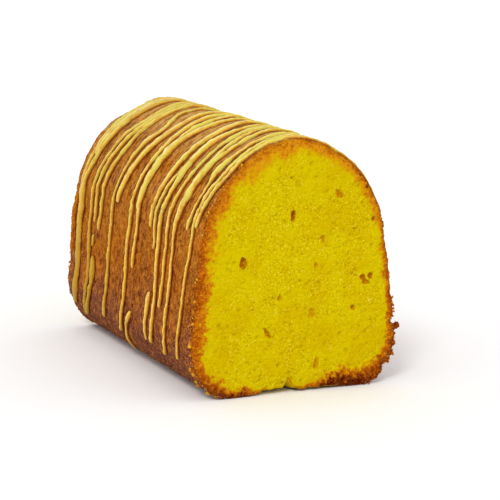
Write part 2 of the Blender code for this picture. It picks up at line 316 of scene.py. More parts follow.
@dataclass(frozen=True)
class CrumbFinish:
    """Bright yellow crumb that bakes through orange to brown at the rim."""

    yellow: Colour = srgb(203, 181, 2)
    ripe: Colour = srgb(198, 169, 0)
    pale: Colour = srgb(222, 202, 14)
    cream: Colour = srgb(232, 216, 84)
    olive: Colour = srgb(156, 122, 0)
    hollow: Colour = srgb(190, 112, 8)
    shallow: Colour = srgb(206, 150, 8)
    ochre: Colour = srgb(204, 150, 8)
    amber: Colour = srgb(208, 134, 16)
    orange: Colour = srgb(184, 96, 10)
    gold: Colour = srgb(218, 150, 30)
    brown: Colour = srgb(138, 60, 10)
    char: Colour = srgb(92, 30, 12)
    burn: Colour = (0.5, 0.22, 0.0, 1.0)

    def material(self) -> bpy.types.Material:
        """Build the material.

        Returns:
            The material.
        """
        graph = Graph("crumb")
        place = graph.place()
        broad = graph.noise(place, 110.0, 4.0).above(0.36, 0.64)
        grain = graph.noise(place, 620.0, 6.0, 0.7)
        fine = graph.noise(place, 1500.0, 3.0, 0.6)
        flecks = graph.noise(place, 520.0, 3.0).above(0.66, 0.74)
        depth = graph.attribute("depth")
        crumb = graph.blend(broad, self.yellow, self.ripe)
        sandy = 0.45 + 0.65 * graph.noise(place, 95.0, 2.0).above(0.42, 0.6)
        shade = depth.above(0.35, 1.0) * 0.4 + grain.above(0.47, 0.3) * 0.4
        pit = graph.blend(grain.above(0.44, 0.6), self.hollow, self.shallow)
        crumb = graph.layers(
            crumb,
            (shade + fine.above(0.47, 0.32) * sandy * 0.6, self.olive),
            (fine.above(0.53, 0.68) * sandy * 0.6, self.pale),
            (fine.above(0.58, 0.7) * sandy * 0.35, self.cream),
            (flecks * (1.0 - depth) * 0.5, self.cream),
            (graph.attribute("hollow"), pit),
        )
        crumb = self._bake(graph, crumb, grain, fine)
        relief = grain * 0.6 + graph.noise(place, 1900.0, 2.0) * 0.4
        return graph.finish(
            Base_Color=crumb,
            Roughness=0.9,
            Specular_IOR_Level=0.0,
            Normal=graph.bump(relief, 0.5 * MM, 0.8),
        )

    def _bake(self, graph: Graph, crumb: Socket, grain: Socket, fine: Socket) -> Socket:
        """Colour the rind, from ochre at its inner edge to brown or charred at the rim.

        Args:
            graph: The material's graph.
            crumb: The crumb's own colour.
            grain: Coarse noise.
            fine: Fine noise.

        Returns:
            The crumb's colour with its rind.
        """
        rind = graph.attribute("rind")
        char = graph.attribute("char")
        ragged = graph.noise(graph.place(), 520.0, 5.0, 0.75) - 0.5
        clumps = graph.noise(graph.place(), 260.0, 2.0) - 0.5
        edge = rind + ragged * 1.5 + (fine - 0.5) * 0.8 + clumps * 0.7
        baked = graph.blend(char.above(0.2, 0.55), self.amber, self.orange)
        sharp = char.above(0.45, 0.75)
        burnt = edge.above(0.36, 0.62) * char.above(0.78, 1.0)
        crust = edge.above(0.15, 0.5)
        bright = crust * (1.0 - 0.8 * burnt)
        return graph.layers(
            crumb,
            (edge.above(-0.12, 0.32) * (0.9 - 0.45 * sharp), self.ochre),
            (edge.above(0.12, 0.6), baked),
            (edge.above(0.14, 0.32) * sharp * 0.8, baked),
            (edge.above(0.5, 1.0) * (0.3 + 0.7 * char), self.brown),
            (burnt * 0.95, self.char),
            (fine.above(0.48, 0.34) * crust * 0.8, self.burn, "MULTIPLY"),
            (grain.above(0.47, 0.34) * crust * 0.7, self.burn, "MULTIPLY"),
            (grain.above(0.54, 0.4) * burnt * 0.85, self.burn, "MULTIPLY"),
            (fine.above(0.53, 0.66) * bright * 0.65, self.gold),
            (grain.above(0.55, 0.66) * bright * 0.5, self.gold),
        )


@dataclass(frozen=True)
class CrustFinish:
    """Caramel brown crust, darker and redder towards the base, glazed between the icing's threads."""

    foot: Colour = srgb(70, 34, 14)
    low: Colour = srgb(120, 66, 54)
    dusk: Colour = srgb(108, 64, 62)
    middle: Colour = srgb(160, 92, 24)
    high: Colour = srgb(170, 112, 42)
    ridge: Colour = srgb(202, 164, 98)
    ember: Colour = srgb(192, 112, 26)
    plum: Colour = srgb(130, 70, 38)
    burn: Colour = (0.5, 0.25, 0.0, 1.0)
    light: Colour = srgb(214, 138, 50)
    glaze: Colour = srgb(206, 161, 97)
    # Darkens the band beside each thread, partly soaked syrup and partly painted shadow, and the glaze's dark
    # runs.
    stain_and_shade: Colour = (0.34, 0.12, 0.0, 1.0)
    crumb: Colour = srgb(205, 172, 6)
    top: float = 92.0 * MM
    front: Span = (-38.0 * MM, -62.0 * MM)

    def material(self) -> bpy.types.Material:
        """Build the material.

        Returns:
            The material.
        """
        graph = Graph("crust")
        place = graph.place()
        skin = graph.surface()
        grain = graph.noise(place, 480.0, 8.0, 0.72)
        fine = graph.noise(place, 1450.0, 3.0, 0.65)
        streaks = graph.noise(graph.stretched(skin, (0.1, 1.0, 1.0)), 620.0, 3.0)
        # Band beside each thread darkened as soaked syrup and painted shadow, weaker near the ridge.
        damp = graph.attribute("damp")
        tone = self._ground(graph, place)
        tone = self._glazed(graph, skin, tone, streaks)
        rough = 0.75 + 0.45 * graph.length().above(*self.front)
        damp = damp * (0.82 - 0.4 * self._level(graph).above(0.88, 1.0))
        tone = graph.layers(
            tone,
            (grain.above(0.51, 0.66) * 0.7, self.light),
            (fine.above(0.52, 0.66) * 0.65 * rough, self.light),
            (grain.above(0.49, 0.33) * 0.8, self.burn, "MULTIPLY"),
            (fine.above(0.48, 0.33) * rough * 0.8, self.burn, "MULTIPLY"),
            (graph.cells(place, 700.0).above(0.22, 0.1) * 0.75, self.burn, "MULTIPLY"),
            (graph.cells(place, 380.0).above(0.26, 0.12) * 0.6, self.burn, "MULTIPLY"),
            (damp, self.stain_and_shade, "MULTIPLY"),
            (graph.attribute("worn").above(0.2, 0.9), self.crumb),
        )
        relief = grain * 0.6 + graph.noise(place, 2100.0, 2.0) * 0.3 + streaks * 0.1
        return graph.finish(
            Base_Color=tone,
            Roughness=0.78 - 0.12 * streaks - 0.14 * damp,
            Specular_IOR_Level=0.0,
            Normal=graph.bump(relief, 0.6 * MM, 0.9),
        )

    def _level(self, graph: Graph) -> Socket:
        """Height above the base as a part of the whole, with a wandering edge."""
        return graph.height() * (1.0 / self.top) + (graph.noise(graph.place(), 60.0, 2.0) - 0.5) * 0.12

    def _ground(self, graph: Graph, place: Socket) -> Socket:
        """The crust's even tone by height, with its broad orange and plum brown patches.

        Args:
            graph: The material's graph.
            place: Object coordinates.

        Returns:
            The crust's colour without its fine grain.
        """
        tone = graph.ramp(self._level(graph), (
            (0.01, self.foot), (0.17, self.low), (0.42, self.middle), (0.82, self.high), (0.98, self.ridge),
        ))
        patches = graph.noise(place, 75.0, 3.0, 0.6)
        mottle = graph.noise(place, 270.0, 4.0, 0.62)
        return graph.layers(
            tone,
            (patches.above(0.54, 0.66) * 0.6, self.ember),
            (patches.above(0.50, 0.38) * 0.65, self.plum),
            (mottle.above(0.52, 0.66) * 0.5, self.ember),
            (mottle.above(0.49, 0.35) * 0.6, self.burn, "MULTIPLY"),
            (self._level(graph).above(0.33, 0.05) * 0.72, self.dusk),
        )

    def _glazed(self, graph: Graph, skin: Socket, tone: Socket, streaks: Socket) -> Socket:
        """Glaze that ran down: pale and dark streaks near the ridge, a few dark stains lower down.

        Args:
            graph: The material's graph.
            skin: Coordinates that follow the skin.
            tone: The crust's colour.
            streaks: Noise drawn out down the flanks.

        Returns:
            The colour with its glaze.
        """
        level = self._level(graph)
        upper = level.above(0.6, 0.92)
        runs = graph.noise(graph.stretched(skin, (0.08, 1.0, 1.0)), 230.0, 2.0)
        return graph.layers(
            tone,
            (streaks.above(0.5, 0.6) * (0.06 + 0.56 * upper), self.glaze),
            (streaks.above(0.48, 0.38) * (0.06 + 0.6 * upper), self.burn, "MULTIPLY"),
            (runs.above(0.58, 0.68) * level.above(0.75, 0.3) * 0.4, self.stain_and_shade, "MULTIPLY"),
        )


@dataclass(frozen=True)
class IcingFinish:
    """Set yellow icing, greenish yellow on its crown, with light and shade painted round each thread by its
    tone: a painted cream highlight along the crown, painted shade down the flanks, and a dark skirt beside it
    that is partly soaked syrup and partly painted shadow.
    """

    # Stops by tone, skirt to crown: the darkest, beside each thread, is partly soaked syrup and partly
    # painted shadow; edge is painted shade down the flanks; cream and light are a painted highlight on the
    # crown.
    soak_shadow: Colour = srgb(70, 32, 10)
    edge: Colour = srgb(150, 82, 8)
    amber: Colour = srgb(200, 138, 20)
    thick: Colour = srgb(212, 182, 38)
    crown: Colour = srgb(218, 200, 84)
    cream: Colour = srgb(246, 226, 146)
    gold: Colour = srgb(204, 142, 26)
    bright: Colour = srgb(222, 178, 54)
    light: Colour = srgb(248, 210, 100)
    honey: Colour = srgb(190, 134, 34)
    pale: Colour = srgb(232, 210, 112)
    dull: Colour = srgb(170, 125, 8)
    lime: Colour = srgb(214, 206, 88)
    rose: Colour = srgb(244, 194, 118)
    low: float = 44.0 * MM
    high: float = 84.0 * MM
    back: Span = (-15.0 * MM, 60.0 * MM)
    foot: Span = (66.0 * MM, 26.0 * MM)

    def material(self) -> bpy.types.Material:
        """Build the material.

        Returns:
            The material.
        """
        graph = Graph("icing")
        place = graph.place()
        cloud = graph.noise(place, 260.0, 3.0)
        grain = graph.noise(place, 900.0, 3.0, 0.6)
        fine = graph.noise(place, 1700.0, 2.0)
        # The tone paints each thread's light and shade: dark skirt, shaded flanks, highlighted crown.
        step = graph.attribute("tone") + (grain - 0.5) * 0.2
        upper = graph.ramp(step, (
            (0.05, self.soak_shadow), (0.2, self.edge), (0.36, self.amber), (0.58, self.thick), (0.82, self.crown),
            (1.0, self.cream),
        ))
        lower = graph.ramp(step, (
            (0.05, self.soak_shadow), (0.2, self.edge), (0.4, self.gold), (0.68, self.bright), (1.0, self.light),
        ))
        upward = graph.height().above(self.low, self.high)
        body = graph.attribute("tone").above(0.25, 0.5)
        wander = graph.noise(place, 90.0, 2.0)
        far = graph.length().above(*self.back)
        tone = graph.layers(
            graph.blend(upward, lower, upper),
            (cloud.above(0.5, 0.36) * body * 0.55, self.honey),
            (grain.above(0.52, 0.66) * body * 0.5, self.pale),
            (fine.above(0.47, 0.34) * body * 0.35, self.honey),
            (wander.above(0.5, 0.6) * upward * 0.6, self.lime),
            (wander.above(0.48, 0.38) * body * 0.2, self.rose),
            (far * (0.2 + 0.6 * graph.height().above(*self.foot)), self.dull),
        )
        return graph.finish(
            Base_Color=tone,
            Roughness=0.42 + 0.2 * cloud,
            Specular_IOR_Level=0.12,
            Subsurface_Weight=0.08,
            Subsurface_Radius=(1.0 * MM, 0.7 * MM, 0.2 * MM),
            Subsurface_Scale=1.0,
            Normal=graph.bump(grain * 0.6 + fine * 0.4, 0.3 * MM, 0.6),
        )


@dataclass(frozen=True)
class SyrupFinish:
    """Thin syrup that soaks and tints the crust."""

    name: str
    honey: Colour
    deep: Colour

    def material(self) -> bpy.types.Material:
        """Build the material.

        Returns:
            The material.
        """
        graph = Graph(self.name)
        cloud = graph.noise(graph.place(), 420.0, 3.0)
        return graph.finish(
            Base_Color=graph.blend(cloud.above(0.38, 0.62), self.deep, self.honey),
            Roughness=0.55 + 0.15 * cloud,
            Specular_IOR_Level=0.02,
        )


@dataclass(frozen=True)
class BitFinish:
    """Loose bits of the cake, from one colour to another by their own tone."""

    name: str
    first: Colour
    second: Colour
    grain: float = 210.0

    def material(self) -> bpy.types.Material:
        """Build the material.

        Returns:
            The material.
        """
        graph = Graph(self.name)
        place = graph.place()
        tone = graph.blend(graph.noise(place, self.grain, 2.0).above(0.4, 0.6), self.first, self.second)
        grain = graph.noise(place, 1500.0, 3.0, 0.6)
        return graph.finish(
            Base_Color=tone,
            Roughness=0.75 + 0.15 * grain,
            Specular_IOR_Level=0.02,
            Normal=graph.bump(grain, 0.25 * MM, 0.7),
        )


@dataclass(frozen=True)
class FloorFinish:
    """Plain near-white floor."""

    white: Colour = (0.93, 0.93, 0.93, 1.0)
    whiter: Colour = (0.95, 0.95, 0.95, 1.0)

    def material(self) -> bpy.types.Material:
        """Build the material.

        Returns:
            The material.
        """
        graph = Graph("floor")
        cloud = graph.noise(graph.place(), 9.0, 2.0)
        return graph.finish(
            Base_Color=graph.blend(cloud, self.white, self.whiter),
            Roughness=0.9,
            Specular_IOR_Level=0.1,
        )


# --------------------------------------------------------------------------------------------------------
# Modelling helpers
# --------------------------------------------------------------------------------------------------------


class Workbench:
    """Small steps of modelling that every piece uses."""

    @staticmethod
    def deselect() -> None:
        """Leave edit mode and deselect all objects."""
        if bpy.context.object is not None and bpy.context.object.mode != "OBJECT":
            bpy.ops.object.mode_set(mode="OBJECT")
        bpy.ops.object.select_all(action="DESELECT")

    @staticmethod
    def pick(piece: bpy.types.Object) -> None:
        """Make one object the only selected and the active one.

        Args:
            piece: The object.
        """
        Workbench.deselect()
        piece.select_set(True)
        bpy.context.view_layer.objects.active = piece

    @staticmethod
    def points(piece: bpy.types.Object) -> np.ndarray:
        """Return a mesh's points as rows of x, y, z.

        Args:
            piece: The piece.

        Returns:
            One row for each point.
        """
        flat = np.empty(len(piece.data.vertices) * 3)
        piece.data.vertices.foreach_get("co", flat)
        return flat.reshape(-1, 3)

    @staticmethod
    def set_points(piece: bpy.types.Object, points: np.ndarray) -> None:
        """Move a mesh's points."""
        piece.data.vertices.foreach_set("co", points.ravel())
        piece.data.update()

    @staticmethod
    def store(piece: bpy.types.Object, name: str, values: np.ndarray) -> None:
        """Store one number on each point, for the material."""
        made = piece.data.attributes.new(name, "FLOAT", "POINT")
        made.data.foreach_set("value", values.astype(np.float32))

    @staticmethod
    def face_out(piece: bpy.types.Object) -> None:
        """Turn all faces outwards.

        Args:
            piece: The piece.
        """
        Workbench.pick(piece)
        bpy.ops.object.mode_set(mode="EDIT")
        bpy.ops.mesh.select_all(action="SELECT")
        bpy.ops.mesh.normals_make_consistent(inside=False)
        bpy.ops.object.mode_set(mode="OBJECT")

    @staticmethod
    def apply(piece: bpy.types.Object, kind: str, **settings: object) -> None:
        """Add a modifier with its settings and apply it.

        Args:
            piece: The piece.
            kind: The modifier's type.
            **settings: Its settings.
        """
        Workbench.pick(piece)
        modifier = piece.modifiers.new(kind.lower(), kind)
        for key, value in settings.items():
            setattr(modifier, key, value)
        bpy.ops.object.modifier_apply(modifier=modifier.name)

    @staticmethod
    def tube(name: str, around: int, along: int) -> tuple[bpy.types.Object, np.ndarray, np.ndarray]:
        """Make a closed tube of unit size along Y, ready to be wrapped on a shape.

        Args:
            name: The object's name.
            around: Points round it, a multiple of four.
            along: Steps along it.

        Returns:
            The object, and each point's step round it and along it.
        """
        Workbench.deselect()
        bpy.ops.mesh.primitive_cylinder_add(
            vertices=around, radius=1.0, depth=1.0, end_fill_type="NGON", rotation=(math.pi / 2, 0.0, 0.0))
        piece = bpy.context.active_object
        piece.name = name
        bpy.ops.object.transform_apply(location=True, rotation=True, scale=True)
        points = Workbench.points(piece)
        ends = np.empty(len(piece.data.edges) * 2, dtype=int)
        piece.data.edges.foreach_get("vertices", ends)
        ends = ends.reshape(-1, 2)
        lengthwise = np.abs(points[ends[:, 0], 1] - points[ends[:, 1], 1]) > 0.5
        bpy.ops.object.mode_set(mode="EDIT")
        bpy.ops.mesh.select_mode(type="EDGE")
        bpy.ops.mesh.select_all(action="DESELECT")
        bpy.ops.object.mode_set(mode="OBJECT")
        piece.data.edges.foreach_set("select", lengthwise)
        bpy.ops.object.mode_set(mode="EDIT")
        bpy.ops.mesh.subdivide_edgering(number_cuts=along - 1, interpolation="LINEAR")
        bpy.ops.object.mode_set(mode="OBJECT")
        points = Workbench.points(piece)
        turn = np.arctan2(points[:, 2], points[:, 0]) % (2 * math.pi)
        step_round = np.rint(turn * around / (2 * math.pi)).astype(int) % around
        step_along = np.rint((points[:, 1] + 0.5) * along).astype(int)
        return piece, step_round, step_along

    @staticmethod
    def join(pieces: list[bpy.types.Object], name: str) -> bpy.types.Object:
        """Join pieces into one object.

        Args:
            pieces: The pieces.
            name: The joined object's name.

        Returns:
            The joined object.
        """
        Workbench.pick(pieces[0])
        for piece in pieces:
            piece.select_set(True)
        bpy.ops.object.join()
        joined = bpy.context.active_object
        joined.name = name
        joined.data.name = name
        return joined

    @staticmethod
    def settle(piece: bpy.types.Object, material: bpy.types.Material, slot: Slot) -> None:
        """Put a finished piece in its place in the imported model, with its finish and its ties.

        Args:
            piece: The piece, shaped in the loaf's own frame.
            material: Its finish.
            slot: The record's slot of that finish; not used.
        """
        Workbench.pick(piece)
        bpy.ops.transform.translate(value=(0.0, -LOAF_LENGTH / 2, 0.0))
        bpy.ops.object.transform_apply(location=True, rotation=True, scale=True)
        bpy.ops.object.shade_smooth()
        piece.data.materials.clear()
        piece.data.materials.append(material)
        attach(piece, BODY)
        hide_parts(NODE)
        faces = sum(len(face.vertices) - 2 for face in piece.data.polygons)
        logging.info("%s: %d triangles", piece.name, faces)


# --------------------------------------------------------------------------------------------------------
# The loaf's form
# --------------------------------------------------------------------------------------------------------


@dataclass(frozen=True)
class LoafForm:
    """The loaf's section and the large relief of its skin; the same sizes as the solid's."""

    height: float = 92.0 * MM
    base_half_width: float = 24.7 * MM
    widest_half_width: float = 40.0 * MM
    widest_height: float = 20.9 * MM
    shoulder_half_width: float = 35.8 * MM
    shoulder_height: float = 54.3 * MM
    fullness: float = 1.775
    samples: int = 400
    normal_reach: float = 1.5 * MM
    relief: float = 0.55 * MM
    relief_grain: float = 17.0 * MM
    relief_starts: float = 3.0 * MM
    relief_full: float = 16.0 * MM
    worn_edge: Rows = ((-17, 0.0), (-13.5, 0.6), (-12, 2.2), (-9, 1.9), (-6, 2.5), (-4.2, 2.2), (-2.2, 6.2),
                       (-0.2, 2.0), (1.5, 1.4), (3.5, 0.4), (5.5, 1.3), (9, 0.7), (12, 1.0), (17, 0.5),
                       (22, 0.0))
    worn_reach: float = 4.5 * MM
    worn_height: float = 9.0 * MM
    torn_rim: Rows = (
        (0, 0.0, 0.2), (3, 0.2, 0.6), (12, 0.0, 0.5), (30, 0.0, 0.3), (190, 0.0, 0.3), (197, 0.1, 0.5),
        (200.5, 0.7, 0.6), (203, 0.4, 0.6), (205.2, 0.7, 0.5), (206.9, -1.9, 0.2), (208.6, 0.9, 0.5),
        (211, 0.7, 0.7), (214.5, 1.0, 0.7), (217, 0.6, 0.7), (219.5, 1.3, 0.7), (221.6, 1.5, 0.5),
        (223.0, 0.2, 0.4), (224.0, -0.6, 0.4), (225.6, 0.9, 0.6), (229, 1.2, 0.6), (233, 0.9, 0.5),
        (235.5, 0.3, 0.3), (238, 0.0, 0.0),
    )
    torn_far_rim: Rows = (
        (0, 0.0, 0.2), (6, 0.1, 0.3), (36, 0.2, 0.25), (42, 1.3, 0.3), (57, 1.4, 0.35), (64, 0.3, 0.25),
        (80, 0.1, 0.2), (118, 0.0, 0.2), (200, 0.2, 0.5), (230, 0.1, 0.6), (238, 0.0, 0.0),
    )
    torn_reach: float = 2.2 * MM
    torn_far_reach: float = 5.0 * MM
    torn_grain: float = 2.1 * MM
    torn_rough: float = 1.25
    torn_finer: float = 0.45
    torn_finer_part: float = 0.7
    far_rim: Rows = ((94, 0.0), (101, 2.2), (105, 3.2), (109, 2.8), (116, 0.0))
    far_rim_sink: float = 0.3
    far_rim_reach: float = 5.0 * MM

    @cached_property
    def arch(self) -> np.ndarray:
        """Points (x, z) of the arch from the left foot over the ridge to the right foot.

        Returns:
            Rows of x and z.
        """
        turn = np.linspace(0.0, math.pi / 2, self.samples)
        power = 2.0 / self.fullness
        rise = self.height - self.shoulder_height
        dome = np.column_stack((
            self.shoulder_half_width * np.sin(turn) ** power,
            self.shoulder_height + rise * np.clip(np.cos(turn), 0.0, 1.0) ** power,
        ))
        swell = self.widest_half_width - self.base_half_width
        corner = np.column_stack((
            self.base_half_width + swell * np.cos(turn), self.widest_height * (1.0 - np.sin(turn)),
        ))
        right = np.vstack((dome, corner))
        return np.vstack((right[::-1] * (-1.0, 1.0), right[1:]))

    @cached_property
    def lengths(self) -> np.ndarray:
        """Length from the left foot to each point of the arch."""
        return np.concatenate(([0.0], np.cumsum(np.hypot(*np.diff(self.arch, axis=0).T))))

    @cached_property
    def arch_length(self) -> float:
        """Length of the whole arch."""
        return float(self.lengths[-1])

    @cached_property
    def girth(self) -> float:
        """Length once round the section, the base included."""
        return self.arch_length + 2 * self.base_half_width

    def outline(self, along: np.ndarray) -> np.ndarray:
        """Points (x, z) of the section.

        Args:
            along: Lengths from the left foot up the arch, and on along the base past its end.

        Returns:
            Rows of x and z.
        """
        on_base = along > self.arch_length
        x = np.interp(along, self.lengths, self.arch[:, 0])
        z = np.interp(along, self.lengths, self.arch[:, 1])
        x = np.where(on_base, self.base_half_width - (along - self.arch_length), x)
        return np.column_stack((x, np.where(on_base, 0.0, z)))

    def normals(self, along: np.ndarray) -> np.ndarray:
        """Outward normals (x, z) of the section.

        Args:
            along: Places along the arch.

        Returns:
            Rows of x and z, of unit length.
        """
        before = self.outline(np.clip(along - self.normal_reach, 0.0, None))
        after = self.outline(np.clip(along + self.normal_reach, None, self.girth))
        step = after - before
        normal = np.column_stack((-step[:, 1], step[:, 0]))
        return normal / np.linalg.norm(normal, axis=1, keepdims=True)

    def skin(self, along: np.ndarray, y: np.ndarray) -> np.ndarray:
        """Points of the skin with its large relief, which fades out towards the base.

        Args:
            along: Places along the arch.
            y: Places along the loaf.

        Returns:
            Rows of x, y and z.
        """
        flat = self.outline(along)
        smooth = np.column_stack((flat[:, 0], y, flat[:, 1]))
        fade = np.clip((flat[:, 1] - self.relief_starts) / (self.relief_full - self.relief_starts), 0.0, 1.0)
        swell = self.relief * fade * noise_at(smooth, self.relief_grain)
        return self.raise_points(smooth, along, swell)

    def raise_points(self, points: np.ndarray, along: np.ndarray, by: np.ndarray) -> np.ndarray:
        """Points moved outwards by their own distances."""
        normal = self.normals(along)
        return points + np.column_stack((normal[:, 0] * by, np.zeros_like(by), normal[:, 1] * by))

    def lost(self, points: np.ndarray) -> np.ndarray:
        """How much height is worn off near the base's shown edge.

        Args:
            points: The points, as rows of x, y and z.

        Returns:
            The lost height at each point.
        """
        lost = from_rows(self.worn_edge, 1, points[:, 0]) * MM
        lost *= np.exp(-np.clip(points[:, 1], 0.0, None) / self.worn_reach)
        return lost * np.clip(1.0 - points[:, 2] / self.worn_height, 0.0, 1.0)

    def wear(self, points: np.ndarray) -> np.ndarray:
        """Points near the base's shown edge, lifted where that edge is worn away."""
        return points + np.outer(self.lost(points), (0.0, 0.0, 1.0))

    def tear(self, points: np.ndarray, along: np.ndarray, from_end: np.ndarray, end: End) -> np.ndarray:
        """Points near a rim, pushed out and in where the crust there is torn.

        Args:
            points: The points.
            along: Their places along the arch.
            from_end: Their distances from the cut end.
            end: The cut end, whose table has rows of place along the arch, how far out and how rough.

        Returns:
            The moved points.
        """
        rows = self.torn_rim if end is End.SHOWN else self.torn_far_rim
        reach = self.torn_reach if end is End.SHOWN else self.torn_far_reach
        near = np.exp(-np.clip(from_end, 0.0, None) / reach)
        out = from_rows(rows, 1, along) * MM
        rough = from_rows(rows, 2, along) * MM
        finer = noise_at(points, self.torn_finer * self.torn_grain)
        spikes = noise_at(points, self.torn_grain) + self.torn_finer_part * finer
        out = out + self.torn_rough * rough * spikes
        return self.raise_points(points, along, out * near)

    def rim_skin(self, along: np.ndarray, y: np.ndarray) -> np.ndarray:
        """Points of the skin as it is torn, shortened and worn at the rims.

        Args:
            along: Places along the arch.
            y: Places along the loaf.

        Returns:
            Rows of x, y and z.
        """
        points = self.skin(along, y)
        points = self.tear(points, along, y, End.SHOWN)
        points = self.tear(points, along, LOAF_LENGTH - y, End.FAR)
        return self.wear(self.shorten(points, along, np.zeros_like(along)))

    def shorten(self, points: np.ndarray, along: np.ndarray, inward: np.ndarray) -> np.ndarray:
        """Points near the far rim, drawn back and in where that rim falls short.

        Args:
            points: The points.
            along: Their places along the arch.
            inward: Their distances in from the skin.

        Returns:
            The moved points.
        """
        short = from_rows(self.far_rim, 1, along) * MM
        short *= np.exp(-np.clip(LOAF_LENGTH - points[:, 1], 0.0, None) / self.far_rim_reach)
        short *= np.exp(-((inward / self.far_rim_reach) ** 2))
        moved = self.raise_points(points, along, -self.far_rim_sink * short)
        moved[:, 1] -= short
        return moved


@dataclass(frozen=True)
class Course:
    """One thread or run on the skin: rows of (place along the arch, distance back, width)."""

    name: str
    rows: Rows
    crosses: bool = False


@dataclass(frozen=True)
class Pour:
    """How the icing was poured: its threads, their common drift and the side they run down to."""

    ridge: float = 118.7
    seed: int = 41
    far_side_ends: Span = (18.0, 78.0)
    far_side_lean: float = 5.0
    far_side_sway: float = 1.0
    far_side_width: float = 0.8
    far_side_least: float = 1.5
    far_side_reach: Span = (2.5, 126.0)
    tip_steps: tuple[float, ...] = (0.08, 0.22, 0.42)
    drift: Rows = (
        (8, 12.5), (14, 9.4), (17, 7.3), (20, 5.1), (23, 3.4), (27, 1.3), (31, 0.4), (36, 0.4), (40, 0.9),
        (45, 1.7), (50, 2.5), (54, 2.9), (58, 2.4), (62, 3.0), (66, 2.5), (69, 3.2), (72, 2.5), (76, 1.9),
        (80, 1.2), (85, 0.5), (90, 0.0),
    )

    def threads(self) -> list[Course]:
        """The thick threads of icing, each down the shown flank from the ridge or from its own start.

        Returns:
            One course for each thread.
        """
        top = self.ridge
        return [
            Course("a1", ((top, 1.8, 2.0), (90, 3.7, 1.8), (69, 4.9, 1.5)), True),
            Course("a2", ((top, 4.6, 2.3), (90, 6.8, 2.0), (52, 8.5, 1.3), (40, 10.9, 1.3),
                          (20, 10.4, 1.3)), True),
            Course("b", ((top, 10.0, 2.5), (98, 11.7, 2.1), (91, 13.2, 3.6), (86, 11.6, 2.0),
                         (67, 12.3, 1.5)), True),
            Course("d2", ((top, 19.0, 2.4), (101, 18.6, 2.1), (93, 21.2, 1.7)), True),
            Course("d1", ((top, 27.4, 2.2), (111, 23.4, 2.2), (100, 22.7, 2.4), (92, 22.0, 3.7),
                          (71, 22.3, 3.5), (65, 23.0, 1.7), (50, 23.3, 1.5), (38, 25.2, 1.5),
                          (18.5, 23.4, 1.5)), True),
            Course("e", ((123, 31.4, 1.8), (115, 29.4, 2.6), (108, 28.3, 3.0), (102, 28.3, 1.9),
                         (80, 29.6, 1.8), (50, 30.4, 1.5), (35.5, 32.2, 1.4))),
            Course("f", ((top, 35.0, 1.8), (111, 35.2, 2.4), (105, 37.0, 4.6), (92, 38.1, 4.2),
                         (80, 37.3, 2.8), (60, 37.9, 2.1), (40, 37.3, 1.8), (20.5, 36.9, 1.7)), True),
            Course("g", ((89, 39.6, 1.5), (80, 41.8, 1.5), (55, 42.4, 1.4))),
            Course("h", ((top, 44.5, 3.8), (105, 43.9, 3.8), (98, 45.8, 3.2), (80, 46.5, 2.6),
                         (62.5, 46.3, 2.0)), True),
            Course("j1", ((top, 55.0, 3.4), (106, 56.2, 3.4), (100, 58.6, 3.6), (95, 61.6, 5.2),
                          (82, 63.0, 4.3), (71, 62.2, 3.4), (65, 60.9, 1.8), (53, 60.8, 1.7),
                          (44.5, 62.3, 1.7)), True),
            Course("j2", ((123, 62.4, 1.9), (112, 61.0, 2.6), (104, 61.6, 3.0), (95, 62.0, 3.0))),
            Course("k", ((top, 67.0, 3.1), (108, 67.2, 3.1), (90, 68.7, 2.1), (70, 68.6, 1.8),
                         (50, 68.7, 1.8), (18, 69.3, 1.7)), True),
            Course("l", ((top, 77.0, 3.5), (105, 75.5, 3.6), (90, 80.0, 3.6), (66, 83.1, 3.2)), True),
            Course("m", ((top, 88.5, 1.8), (109, 87.6, 1.8), (101, 83.5, 2.2), (91, 87.6, 3.0),
                         (84, 88.3, 1.8), (60, 88.3, 1.7), (19.5, 89.2, 1.7)), True),
            Course("n", ((top, 97.0, 2.8), (106, 97.1, 2.9), (90, 100.0, 2.3), (70, 100.7, 1.9),
                         (52, 101.6, 1.8)), True),
            Course("o1", ((top, 106.2, 2.6), (101, 105.8, 2.6), (93, 109.6, 2.4), (80, 110.8, 1.9),
                          (60, 112.4, 1.8), (40, 110.9, 1.8), (14.5, 112.3, 1.7)), True),
            Course("o2", ((top, 101.6, 2.6), (101, 101.6, 2.6), (91, 105.4, 2.3), (75, 106.9, 1.9),
                          (54.5, 106.9, 1.8)), True),
            Course("o3", ((50, 107.0, 1.6), (45, 107.8, 1.6))),
            Course("p", ((41.5, 106.9, 2.0), (38.5, 106.4, 3.0), (27, 107.0, 1.8), (15.5, 110.8, 1.6))),
            Course("q1", ((top, 124.4, 3.4), (97, 125.6, 3.0), (73, 125.2, 3.0), (65, 124.3, 4.6),
                          (40, 124.6, 4.4), (25, 123.7, 3.8), (18.5, 125.0, 2.4)), True),
            Course("q2", ((110, 118.7, 3.0), (94, 119.5, 2.8), (80, 120.8, 2.4), (66, 123.2, 2.4))),
            Course("pool", ((top, 120.2, 8.5), (108, 120.6, 8.2), (98, 122.0, 6.6), (88, 122.8, 4.2),
                            (80, 123.2, 2.2)), True),
            Course("r", ((28.5, 60.4, 2.8), (24.5, 62.7, 1.8), (9, 62.4, 1.5))),
            Course("s", ((39.5, 42.9, 2.8), (34, 43.8, 2.6), (26, 43.8, 1.5), (20.5, 42.2, 1.2))),
        ]

